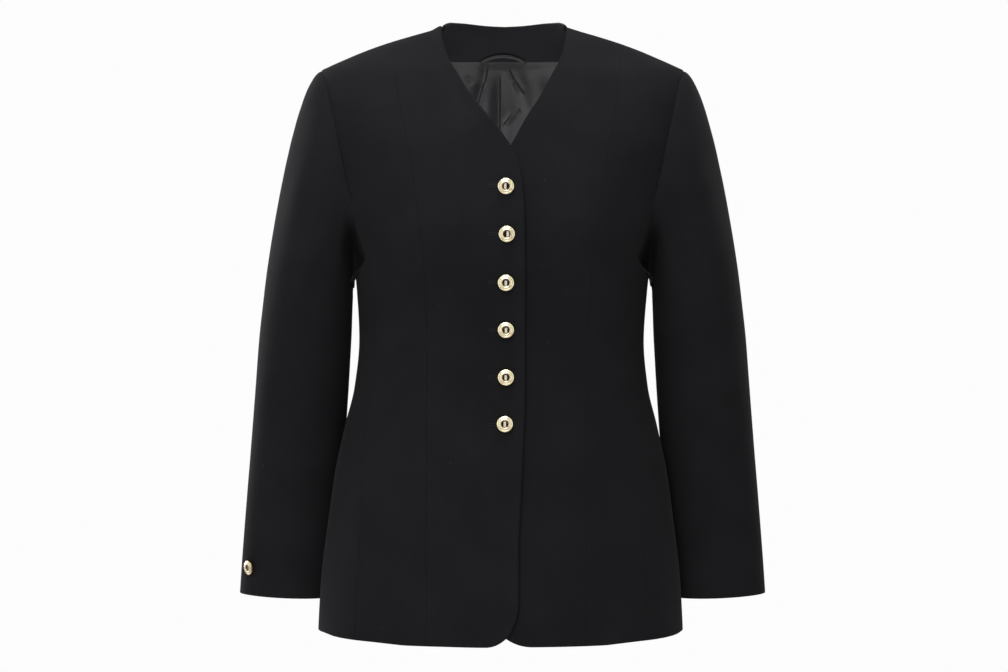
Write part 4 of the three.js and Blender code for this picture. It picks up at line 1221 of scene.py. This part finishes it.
# %% Folds and pleats of the lining
# x, z, to x, to z, half width, height towards the wearer
LINING_FOLDS = [
    (-5, -20, -6, -330, 11, 3.2),
    (-21, -24, -36, -95, 9, 2),
    (10, -24, 32, -90, 9, 2),
    (17, -80, -2, -98, 8, 1.3),
    (-46, -40, -34, -52, 7, 1.1),
    (40, -36, 52, -110, 9, 1.8),
    (-62, -60, -48, -170, 11, 3),
    (70, -180, 52, -420, 16, 3),
    (-82, -220, -70, -480, 17, 3.5),
    (30, -360, 34, -640, 14, 3),
    (-40, -430, -34, -660, 15, 3),
    (110, -300, 118, -560, 18, 2.5),
    (-126, -330, -128, -600, 18, 3),
]
# x, z, to x, to z, soft side's width, height of the edge that lies over
LINING_PLEATS = [
    (-5.8, -38, -6.4, -150, 8, 4.2),
    (-19.0, -22, -24.5, -52, 6, 1.5),
    (-23.5, -46, -35.5, -84, 6, 2.2),
    (4.4, -32, 12.0, -50, 4.5, 1.6),
    (10.5, -46, 24.5, -66, 4.5, 1.7),
    (7.5, -91, 19.0, -81, 3.5, 1.2),
    (-1.5, -103, 10.5, -88, 4, 1.6),
    (-45, -41, -37, -50, 4, 0.7),
]
PLEAT_DROP = 1.5
PLEAT_HOLLOW = 0.55
PLEAT_ENDS = (0.3, 0.75)


def pleat_height(table, x, z):
    """Each fold swells up to its edge and drops at once on the other side."""
    total = np.zeros(np.broadcast(x, z).shape)
    for x0, z0, x1, z1, soft, height in table:
        length = math.hypot(x1 - x0, z1 - z0)
        ahead = ((x1 - x0) / length, (z1 - z0) / length)
        share = ((x - x0) * ahead[0] + (z - z0) * ahead[1]) / length
        aside = (x - x0) * ahead[1] - (z - z0) * ahead[0]
        ends = ease(0, PLEAT_ENDS[0], share) * (1 - ease(PLEAT_ENDS[1], 1, share))
        edge = mix(1.0, -PLEAT_HOLLOW, ease(0, PLEAT_DROP, -aside))
        total += height * edge * bell(aside, 0, soft) * ends
    return total


print(len(LINING_FOLDS), "folds and", len(LINING_PLEATS), "pleats in the lining")

# %% Satin lining
LINING = 1.0
LINING_TUCKED = 3.0
LINING_FREE = 9.0  # the lining's top lies flat over this height, and keeps as far from the shoulder
LINING_EASE = 0.7
LINING_BOTTOM_Z = -690
LINING_REACH = 0.955
LINING_ROLLS = (0.4,) * 4
LINING_COLUMNS = 227
CENTRE_CROWD = 1.9
LINING_ROWS = {"low": 43, "high": 112, "from": 0.8}
EDGE_CHANGES = 8


def back_lining():
    u = np.linspace(-1, 1, LINING_COLUMNS)
    u = (np.sign(u) * np.abs(u) ** CENTRE_CROWD)[None, :]
    low = np.linspace(0, LINING_ROWS["from"], LINING_ROWS["low"] + 1)[:-1]
    v = np.concatenate([low, np.linspace(LINING_ROWS["from"], 1, LINING_ROWS["high"])])[:, None]
    rough_z = mix(LINING_BOTTOM_Z, FACING_BOTTOM_Z, v)
    change = ease(SIDE_TOP_Z - EDGE_CHANGES, SIDE_TOP_Z + EDGE_CHANGES, rough_z)
    edge = mix(side_seam_x("side_back", rough_z), ARMHOLE("back", rough_z), change)
    x = np.abs(u) * edge * LINING_REACH
    seam_z = FACING_BOTTOM_Z + LINING_TUCKED
    z = mix(LINING_BOTTOM_Z, np.minimum(seam_z, shoulder_z(x[-1:, :]) - LINING_FREE), v)
    signed = np.sign(u) * x
    free = ease(LINING_TUCKED, LINING_TUCKED + LINING_FREE, seam_z - z)
    folds = crease_height(LINING_FOLDS, signed, z) + pleat_height(LINING_PLEATS, signed, z)
    out = -(CLOTH + LAY + free * np.maximum(folds + LINING_EASE, 0))
    return across_back(x, z, u, out)


points, normals = back_lining()
PIECES["back_lining"] = shell(
    "back_lining_satin", points, normals, LINING, LINING_ROLLS, [SATIN]
)
print("lining", points.shape[:2])

# %% [markdown]
# ### Hanger loop
# The loop is a narrow satin tube pressed flat, with both ends caught in the facing's seam. A flat
# oval swept along an arch gives that, and the ends dip into the seam so no cut end shows.

# %% The loop
LOOP = {
    "first_x": -29.0,
    "last_x": 26.0,
    "low_z": -28.5,
    "rise": 8.4,
    "round": 0.7,
    "bow": 1.6,
    "half_wide": 2.1,
    "half_thick": 0.7,
    "stops": 41,
    "sides": 12,
}


def loop_path():
    t = np.linspace(-1, 1, LOOP["stops"])
    arch = np.maximum(np.cos(math.pi / 2 * t), 0)
    x = mix(LOOP["first_x"], LOOP["last_x"], (t + 1) / 2)
    z = LOOP["low_z"] + LOOP["rise"] * arch ** LOOP["round"]
    base = CLOTH + LAY + FACING + LAY + LOOP["half_thick"] + LOOP["bow"] * arch
    path, out = across_back(np.abs(x), z, x, -base)
    out = unit(out)
    return path, unit(np.cross(unit(np.gradient(path, axis=0)), out)), out


def hanger_loop():
    """A flat oval swept along the loop's path, with a flat cap at each end."""
    path, aside, out = loop_path()
    turn = np.linspace(0, 2 * math.pi, LOOP["sides"] + 1)[:-1]
    ring = np.cos(turn)[None, :, None] * aside[:, None] * LOOP["half_wide"]
    ring = ring + np.sin(turn)[None, :, None] * out[:, None] * LOOP["half_thick"]
    places = path[:, None] + ring
    grid = np.arange(places[..., 0].size).reshape(places.shape[:2])
    beside = np.roll(grid, -1, axis=1)
    quads = np.stack([grid[:-1], beside[:-1], beside[1:], grid[1:]], -1).reshape(-1, 4)
    faces = quads.tolist() + [grid[0].tolist(), grid[-1][::-1].tolist()]
    steps = (0.5 * MM * np.arange(len(turn)), MM * np.arange(len(path)))
    lengths = np.stack(np.meshgrid(*steps), -1)
    return closed_piece("hanger_loop_satin", places.reshape(-1, 3), faces, lengths, [SATIN])


PIECES["hanger_loop"] = hanger_loop()
print("loop faces:", len(PIECES["hanger_loop"].data.polygons))

# %% [markdown]
# ## Polished brass
# The buttons are plated a pale gold and polished; the cuff buttons, which rub on tables, are duller.
# Tiny turning marks keep the metal from looking like a flat mirror. Painted shade, carried by an
# attribute on the mesh, darkens the side of the rim, the fine step and the wall of the well. The
# well in the middle is shiny, and its dark gold is a painted dark reflection.

# %% Gold with painted shade, and the well painted dark
TURNING_MARKS = {"Cloud size": 260.0, "Nap size": 2600.0}
MARK_DEPTH = 0.05


def metal_finish(name, pale, deep, smooth, rough, relief):
    material, tree, shader = new_finish(name, {"Metallic": 1.0})
    face = grouped(tree, nap, TURNING_MARKS)
    painted_shade = node(tree, "ShaderNodeAttribute", {"attribute_name": "painted_shade"})
    # Painted shade: an attribute on the mesh blends the metal from its own pale colour towards the deep one
    # on the side of the rim, in the fine step and on the wall of the well.
    tree.links.new(blend(tree, painted_shade.outputs["Fac"], pale, deep), shader.inputs["Base Color"])
    ends = {"To__Min": smooth, "To__Max": rough}
    gloss = node(tree, "ShaderNodeMapRange", Value=face.outputs["Tone"], **ends)
    tree.links.new(gloss.outputs[0], shader.inputs["Roughness"])
    emboss(tree, shader, face.outputs["Nap"], relief, MARK_DEPTH * MM)
    return material


# Each metal's first colour is its own; the second, deep one is painted shade for the rim's side, the step
# and the well's wall.
GOLD = metal_finish(
    "pale_gold", (0.90, 0.80, 0.545, 1), (0.36, 0.25, 0.08, 1), smooth=0.13, rough=0.2, relief=0.08
)
WORN_GOLD = metal_finish(
    "worn_gold", (0.54, 0.45, 0.31, 1), (0.12, 0.075, 0.02, 1), smooth=0.3, rough=0.38, relief=0.06
)
# The well's dark gold is a painted dark reflection; the metal itself stays shiny.
WELL_PAINTED_DARK = metal_finish(
    "well_painted_dark", (0.19, 0.165, 0.13, 1), (0.05, 0.035, 0.015, 1), smooth=0.045, rough=0.06, relief=0.04
)
print("metal finishes:", GOLD.name, WORN_GOLD.name, WELL_PAINTED_DARK.name)

# %% [markdown]
# ## Ring buttons
# Each button is turned on a lathe: a thin rim, a ring that slopes up like a flat cone with one fine
# step, and a domed well in the middle, painted a dark gold that stands for the dark reflection it
# shows. The slope matters: it shows the bright room from most sides, where a round ring would
# mirror the lamps. The profile is spun once into a mesh. Geometry Nodes then set a copy on each
# point, turned to face out of the cloth.

# %% One turned button
# share of the radius, share of the height, share of painted shade
BUTTON_PROFILE = [
    (0.0, 0.0, 1.0),
    (0.82, 0.0, 1.0),
    (0.95, 0.05, 1.0),
    (0.99, 0.14, 1.0),
    (1.0, 0.26, 1.0),
    (0.998, 0.40, 1.0),
    (0.985, 0.50, 1.0),
    (0.97, 0.58, 1.0),
    (0.958, 0.645, 0.7),
    (0.945, 0.72, 0.1),
    (0.925, 0.778, 0.0),
    (0.89, 0.825, 0.0),
    (0.84, 0.862, 0.0),
    (0.785, 0.89, 0.1),
    (0.765, 0.872, 0.8),
    (0.75, 0.85, 1.0),
    (0.735, 0.875, 0.7),
    (0.715, 0.92, 0.0),
    (0.66, 0.951, 0.0),
    (0.60, 0.982, 0.0),
    (0.56, 0.998, 0.0),
    (0.54, 1.0, 0.0),
    (0.51, 0.985, 0.0),
    (0.475, 0.935, 0.0),
    (0.45, 0.84, 0.1),
    (0.437, 0.68, 0.5),
    (0.428, 0.56, 1.0),
    (0.415, 0.505, 1.0),
    (0.36, 0.513, 0.5),
    (0.30, 0.521, 0.2),
    (0.22, 0.5295, 0.0),
    (0.12, 0.536, 0.0),
    (0.0, 0.539, 0.0),
]
WELL_FROM = 25
BUTTON_SIDES = 64


def turned_button(name, size, ring):
    angle = np.linspace(0, 2 * math.pi, BUTTON_SIDES, endpoint=False)
    work = bmesh.new()
    # each vertex carries its share of painted shade from the profile's third column
    painted_shade = work.verts.layers.float.new("painted_shade")
    rows = []
    for r, h, painted_shade_share in np.array(BUTTON_PROFILE):
        out, up = r * size["radius"], h * size["height"] * MM
        spots = [(0.0, 0.0)] if r == 0 else [(math.cos(a), math.sin(a)) for a in angle]
        row = [work.verts.new((out * x * MM, out * y * MM, up)) for x, y in spots]
        for vertex in row:
            vertex[painted_shade] = painted_shade_share
        rows.append(row)
    for index, (low, high) in enumerate(zip(rows, rows[1:])):
        for k in range(BUTTON_SIDES):
            beside = (k + 1) % BUTTON_SIDES
            corners = [low[k % len(low)], low[beside % len(low)]]
            corners += [high[beside % len(high)], high[k % len(high)]]
            face = work.faces.new(dict.fromkeys(corners))
            face.material_index = 1 if index >= WELL_FROM else 0
    bmesh.ops.recalc_face_normals(work, faces=work.faces)
    mesh = bpy.data.meshes.new(name)
    work.to_mesh(mesh)
    work.free()
    for material in (ring, WELL_PAINTED_DARK):
        mesh.materials.append(material)
    mesh.shade_smooth()
    return mesh


BUTTON = {"radius": 9.5, "height": 4.4, "x": 1.0, "first_z": -193.5, "pitch": 53.5, "count": 6}
CUFF_BUTTON = {"radius": 8.6, "height": 3.2, "z": -638, "degrees": {-1: 140, 1: 214}}
front_button = turned_button("front_button", BUTTON, GOLD)
cuff_button = turned_button("cuff_button", CUFF_BUTTON, WORN_GOLD)
print("button faces:", len(front_button.polygons))

# %% A tree that sets a mesh on every point
GEOMETRY = "NodeSocketGeometry"


def facing_out(tree, level):
    """The turn that points Z along the attribute out and X along level."""
    out = node(tree, "GeometryNodeInputNamedAttribute", {"data_type": "FLOAT_VECTOR"}, Name="out")
    axes = {"primary_axis": "Z", "secondary_axis": "X"}
    return node(tree, "FunctionNodeAxesToRotation", axes, i0=out.outputs[0], i1=level).outputs[0]


def set_on(tree, points, instance, turn, **more):
    """Real copies of one shape on every point."""
    given = {"Points": points, "Instance": instance, "Rotation": turn, **more}
    placed = node(tree, "GeometryNodeInstanceOnPoints", **given)
    return node(tree, "GeometryNodeRealizeInstances", i0=placed.outputs[0]).outputs[0]


def setting_tree(name):
    """Puts one object on each point, its Z along the attribute out and its X along level."""
    inputs = [("Points", GEOMETRY, None), ("Piece", "NodeSocketObject", None)]
    tree, start, end = new_group(name, "GeometryNodeTree", inputs, [("Geometry", GEOMETRY)])
    info = node(tree, "GeometryNodeObjectInfo", Object=start.outputs["Piece"])
    vector = {"data_type": "FLOAT_VECTOR"}
    level = node(tree, "GeometryNodeInputNamedAttribute", vector, Name="level").outputs[0]
    turn = facing_out(tree, level)
    real = set_on(tree, start.outputs["Points"], info.outputs["Geometry"], turn)
    tree.links.new(real, end.inputs[0])
    return tree


def points_mesh(name, places, edges, **vectors):
    mesh = bpy.data.meshes.new(name)
    mesh.from_pydata((np.asarray(places) * MM).tolist(), edges, [])
    for label, rows in vectors.items():
        layer = mesh.attributes.new(label, "FLOAT_VECTOR", "POINT")
        layer.data.foreach_set("vector", np.asarray(rows, float).ravel())
    return linked(name, mesh)


def grown(carrier, tree, name, **inputs):
    """Runs a tree on a carrier and keeps the result as a plain mesh."""
    modifier = carrier.modifiers.new("grow", "NODES")
    modifier.node_group = tree
    sockets = {s.name: s.identifier for s in tree.interface.items_tree if s.in_out == "INPUT"}
    for label, value in inputs.items():
        modifier[sockets[label]] = value
    bpy.context.view_layer.update()
    graph = bpy.context.evaluated_depsgraph_get()
    mesh = bpy.data.meshes.new_from_object(carrier.evaluated_get(graph))
    mesh.name = name
    bpy.data.objects.remove(carrier)
    return linked(name, mesh)


SETTING = setting_tree("set_on_points")
print("setting tree:", len(SETTING.nodes), "nodes")

# %% Buttons in their places
BUTTON_LIFT = 0.9
CUFF_BUTTON_LIFT = 1.8
CUFF_BUTTON_LEAN = {-1: (-0.42, 0.0, -0.06), 1: (0.2, 0.0, -0.03)}
# each button hangs a little its own way: aside, up (in mm), turned, raised (in degrees)
BUTTON_HANG = [
    (0.6, -1.1, -0.2, -2.1),
    (1.7, -0.6, -2.3, -1.0),
    (0.6, -0.6, -1.0, 1.3),
    (0.6, 0.0, -1.2, 2.4),
    (0.6, -0.6, -0.8, 3.3),
    (-0.6, 0.6, -1.0, 4.0),
]


def on_upper_front(x, z, lift=0.0):
    """Places on the front that laps over, the wearer's right one; x is positive to the left."""
    return on_panel(-x, z, -1, False, front_lift(-x, z, -1) + lift)


def button_seats():
    aside, up, turned, raised = np.array(BUTTON_HANG).T
    z = BUTTON["first_z"] - BUTTON["pitch"] * np.arange(BUTTON["count"]) + up
    points, normals = on_upper_front(aside + BUTTON["x"], z)
    ways = np.stack([np.sin(np.radians(turned)), -np.ones(len(z)), np.sin(np.radians(raised))], -1)
    return points + normals * BUTTON_LIFT, unit(ways)


def cuff_seat(side):
    v = mix(CAP_SHARE, 1, (CUFF_BUTTON["z"] - BICEPS_Z) / (CUFF_Z - BICEPS_Z))
    angle = np.array([math.radians(CUFF_BUTTON["degrees"][side])])
    point, normal = sleeve_cloth(angle, np.array([v]), side)
    return point + normal * CUFF_BUTTON_LIFT, unit(normal + np.array(CUFF_BUTTON_LEAN[side]))


def set_buttons(name, mesh, places, out, level):
    model = linked(f"{name}_model", mesh)
    levels = np.tile(np.array(level, float), (len(places), 1))
    carrier = points_mesh(f"{name}_points", places, [], out=out, level=levels)
    piece = grown(carrier, SETTING, name, Piece=model)
    bpy.data.objects.remove(model)
    return piece


PIECES["buttons"] = set_buttons("front_buttons", front_button, *button_seats(), (1, 0, 0))
for side, word in SIDE_NAME.items():
    name = f"cuff_button_{word}"
    PIECES[name] = set_buttons(f"{name}_brass", cuff_button, *cuff_seat(side), (0, 0, 1))
    print(name, "at", [round(c, 3) for c in PIECES[name].data.vertices[0].co])

# %% [markdown]
# ## Worked buttonholes
# A tailor's buttonhole is edged with purl stitches: short threads laid side by side across the cut
# edge. A path of points follows each hole, and Geometry Nodes lay one small thread at each step
# along it, square to the path and flat on the cloth.

# %% A tree that lays stitches along a path
STITCH = {"Spacing": 0.00042, "Length": 0.0011, "Thread": 0.00016, "Unevenness": 0.12, "Seed": 11}
THREAD_SPHERE = {"Segments": 8, "Rings": 6, "Radius": 1.0}


def stitch_tree(name):
    inputs = [
        ("Path", GEOMETRY, None),
        *((key, FLOAT, STITCH[key]) for key in ("Spacing", "Length", "Thread", "Unevenness")),
        ("Seed", "NodeSocketInt", STITCH["Seed"]),
        ("Material", "NodeSocketMaterial", None),
    ]
    tree, start, end = new_group(name, "GeometryNodeTree", inputs, [("Geometry", GEOMETRY)])
    given = start.outputs
    curve = node(tree, "GeometryNodeMeshToCurve", Mesh=given["Path"])
    even = node(tree, "GeometryNodeResampleCurve", {"mode": "LENGTH"}, Curve=curve.outputs[0])
    tree.links.new(given["Spacing"], even.inputs["Length"])
    turn = facing_out(tree, node(tree, "GeometryNodeInputTangent").outputs[0])
    spread = node(tree, "FunctionNodeRandomValue", {"data_type": "FLOAT"}, Seed=given["Seed"])
    low, high = (s for s in spread.inputs if s.enabled and s.name in ("Min", "Max"))
    tree.links.new(maths(tree, "MULTIPLY", given["Unevenness"], -1.0), low)
    tree.links.new(given["Unevenness"], high)
    wobble = node(tree, "ShaderNodeCombineXYZ", Z=next(s for s in spread.outputs if s.enabled))
    turned = {"i0": turn, "i1": wobble.outputs[0]}
    leaned = node(tree, "FunctionNodeRotateRotation", {"rotation_space": "LOCAL"}, **turned)
    half = maths(tree, "MULTIPLY", given["Length"], 0.5)
    size = node(tree, "ShaderNodeCombineXYZ", X=given["Thread"], Y=half, Z=given["Thread"])
    thread = node(tree, "GeometryNodeMeshUVSphere", **THREAD_SPHERE)
    smooth = node(tree, "GeometryNodeSetShadeSmooth", i0=thread.outputs["Mesh"]).outputs[0]
    real = set_on(tree, even.outputs[0], smooth, leaned.outputs[0], Scale=size.outputs[0])
    parts = {"Geometry": real, "Material": given["Material"]}
    dressed = node(tree, "GeometryNodeSetMaterial", **parts)
    tree.links.new(dressed.outputs[0], end.inputs[0])
    return tree


STITCHES = stitch_tree("stitches_on_path")
print("stitch tree:", len(STITCHES.nodes), "nodes")

# %% Buttonholes
HOLE = {"first_x": -16.6, "last_x": 2.0, "half": 1.15, "lift": 0.12, "end_stops": 9, "side_stops": 12}


def hole_path(z):
    """A closed slot with round ends, as (x, z) places."""
    turn = np.linspace(math.pi / 2, 3 * math.pi / 2, HOLE["end_stops"])
    curve = HOLE["half"] * np.stack([np.cos(turn), np.sin(turn)], -1)
    left, right = (HOLE["first_x"], z) + curve, (HOLE["last_x"], z) - curve
    ends = ((left[-1], right[0]), (right[-1], left[0]))
    lower, upper = (np.linspace(*pair, HOLE["side_stops"])[1:-1] for pair in ends)
    return np.concatenate([left, lower, right, upper])


def buttonholes():
    holes = [hole_path(BUTTON["first_z"] - BUTTON["pitch"] * k) for k in range(BUTTON["count"])]
    order = np.arange(len(holes[0]))
    ring = np.stack([order, np.roll(order, -1)], -1)
    edges = np.concatenate([ring + k * len(order) for k in range(len(holes))]).tolist()
    places, ways = on_upper_front(*np.concatenate(holes).T, HOLE["lift"])
    carrier = points_mesh("hole_paths", places, edges, out=ways)
    return grown(carrier, STITCHES, "buttonhole_stitches", **STITCH, Material=THREAD)


PIECES["buttonholes"] = buttonholes()
print("stitch faces:", len(PIECES["buttonholes"].data.polygons))

# %% [markdown]
# ## What each sheet was cut to
# Every panel was cut flat before it was sewn. The table gives the flat width and length of what
# shows of each, without seam allowances, and its flat area, since none is a plain rectangle. The
# garment hangs from the wearer's shoulders.

# %% Cut sheets
# width and length in millimetres, area in square centimetres
CUT = {
    "front_right": (123, 768, 790),
    "front_left": (128, 761, 807),
    "side_front_right": (90, 737, 581),
    "side_front_left": (85, 733, 496),
    "back_right": (213, 766, 1250),
    "back_left": (210, 765, 1215),
    "side_right": (233, 447, 768),
    "side_left": (230, 447, 758),
    "sleeve_upper_right": (262, 641, 984),
    "sleeve_under_right": (232, 536, 750),
    "sleeve_upper_left": (278, 640, 1150),
    "sleeve_under_left": (205, 523, 580),
    "back_neck_facing": (246, 69, 109),
    "back_lining": (444, 695, 2110),
    "hanger_loop": (10, 62, 3),
}
print("sheets:", len(CUT), "area in square metres:", round(sum(c[2] for c in CUT.values()) / 1e4, 3))

# %% [markdown]
# ## Joining the frame
# Every piece takes the place of its plain counterpart and rides with the coat's one body. All six
# front buttons are one piece here; the stitches of the buttonholes have no plain counterpart, so
# they replace nothing, but they ride too.

# %% Riding and replacing
CUFF_BUTTONS = [f"cuff_button_{word}" for word in SIDE_NAME.values()]
for name in CUT:
    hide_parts(name)
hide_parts(*[f"button_{k + 1}" for k in range(BUTTON["count"])])
for name in CUFF_BUTTONS:
    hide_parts(name)
for piece in PIECES.values():
    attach(piece, "root")
triangles = sum(len(p.vertices) - 2 for piece in PIECES.values() for p in piece.data.polygons)
print(len(PIECES), "pieces,", triangles, "triangles")

# %% [markdown]
# ## Floor and room
# The floor is a pale disc far below the hem, at the height where a wearer would stand. The room
# is bright to the eye and in polished faces, but lights the cloth only a little, so that the lamps
# shape it. A dark cloth hangs behind the camera, as in any studio: polished metal looks like metal
# only where it has something dark to show beside the bright.

# %% Floor
FLOOR_Z = -1.45
FLOOR_RADIUS = 3.2
FLOOR_EDGES = 128
FLOOR_ROUGH = 0.9
FLOOR_CLOUD_SCALE = 1.5
FLOOR_SHADES = ((0.84, 0.84, 0.84, 1), (0.88, 0.88, 0.88, 1))


def pale_floor():
    material, tree, shader = new_finish("pale_floor", {"Roughness": FLOOR_ROUGH})
    here = node(tree, "ShaderNodeTexCoord").outputs["Object"]
    cloud = node(tree, "ShaderNodeTexNoise", Vector=here, Scale=FLOOR_CLOUD_SCALE)
    shade = blend(tree, cloud.outputs[0], *FLOOR_SHADES)
    tree.links.new(shade, shader.inputs["Base Color"])
    return material


work = bmesh.new()
bmesh.ops.create_circle(work, cap_ends=True, radius=FLOOR_RADIUS, segments=FLOOR_EDGES)
bmesh.ops.translate(work, verts=work.verts, vec=(0, 0, FLOOR_Z))
floor_mesh = bpy.data.meshes.new("floor")
work.to_mesh(floor_mesh)
work.free()
floor_mesh.materials.append(pale_floor())
floor = linked("floor", floor_mesh)
floor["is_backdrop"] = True
print("floor at", FLOOR_Z, "m")

# %% Dark cloth and room
BACKDROP = 0.98
ROOM_LIGHT = 0.118
DARK_CLOTH = {"place": (0.0, -3.8, -0.3), "half_wide": 1.2, "half_high": 1.1}


def dark_cloth():
    mesh = bpy.data.meshes.new("black_cloth")
    corners = [(-1, -1), (1, -1), (1, 1), (-1, 1)]
    wide, high = DARK_CLOTH["half_wide"], DARK_CLOTH["half_high"]
    mesh.from_pydata([(x * wide, 0, z * high) for x, z in corners], [], [(0, 1, 2, 3)])
    mesh.materials.append(THREAD)
    cloth = linked("black_cloth", mesh)
    cloth.location = DARK_CLOTH["place"]
    cloth.visible_camera = False
    cloth.visible_diffuse = False
    cloth.visible_shadow = False
    cloth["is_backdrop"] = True


dark_cloth()
world = bpy.data.worlds.new("studio")
world.use_nodes = True
sky = world.node_tree
backdrop = sky.nodes["Background"]
backdrop.inputs["Color"].default_value = (1, 1, 1, 1)
rays = node(sky, "ShaderNodeLightPath")
seen = maths(sky, "MAXIMUM", rays.outputs["Is Camera Ray"], rays.outputs["Is Glossy Ray"])
brightness = node(sky, "ShaderNodeMapRange", Value=seen, To__Min=ROOM_LIGHT, To__Max=BACKDROP)
sky.links.new(brightness.outputs[0], backdrop.inputs["Strength"])
bpy.context.scene.world = world
bpy.context.scene.view_settings.view_transform = "Standard"
print("room light", ROOM_LIGHT)

# %% [markdown]
# ## Lights and camera
# Large soft lamps stand above, in front and behind on both sides; the ones behind draw the thin
# bright rims along the sleeves. A small card inside the neck lifts the satin's folds out of the
# dark, and a tall narrow lamp in front puts one crisp glint on every button.

# %% Lights
CHEST = (0.0, 0.0, -0.35)
# name, place, what it is aimed at, size, watts
LIGHTS = [
    ("above", (0.0, -0.3, 2.4), CHEST, (1.6, 1.2), 54.0),
    ("overhead", (-0.45, -1.5, 2.0), CHEST, (1.4, 1.2), 8.0),
    ("high_front", (-0.4, -2.7, 1.2), CHEST, (1.2, 1.0), 25.0),
    ("left_rim", (-2.0, 1.2, 0.1), CHEST, (0.8, 1.8), 62.0),
    ("right_rim", (2.0, 1.2, 0.1), CHEST, (0.8, 1.8), 20.0),
    ("left_front", (-2.4, -0.7, 0.2), CHEST, (0.8, 1.6), 6.0),
    ("card_inside_the_neck", (0.0, -0.05, -0.2), (0.0, 0.065, -0.02), (0.12, 0.08), 0.36),
    ("tall_front", (-0.12, -3.4, -0.2), CHEST, (0.34, 0.9), 3.6),
]
for name, place, target, size, power in LIGHTS:
    data = bpy.data.lights.new(name, "AREA")
    data.shape = "RECTANGLE"
    data.size, data.size_y = size
    data.energy = power
    light = linked(name, data)
    light.location = place
    way = np.array(target) - np.array(place)
    pitch = math.atan2(math.hypot(way[0], way[1]), -way[2])
    light.rotation_euler = (pitch, 0, math.atan2(way[1], way[0]) - math.pi / 2)
print(len(LIGHTS), "lights")

# %% Camera
CAMERA_PLACE = (-0.0006, -2.3, -0.3612)
data = bpy.data.cameras.new("camera")
data.sensor_width = 36.0
data.lens = 69.82
camera = linked("camera", data)
camera.location = CAMERA_PLACE
camera.rotation_euler = (math.pi / 2, 0, 0)
bpy.context.scene.camera = camera
print("camera", [round(c, 3) for c in camera.location])

# %% [markdown]
# ## Sizes and the end
# The two boxes, plain and dressed, are kept side by side: clothing the model must not change its
# size.

# %% Finish


def plain(box):
    return [[round(float(c), 5) for c in corner] for corner in box]


{"plain": plain(plain_box), "dressed": plain(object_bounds())}
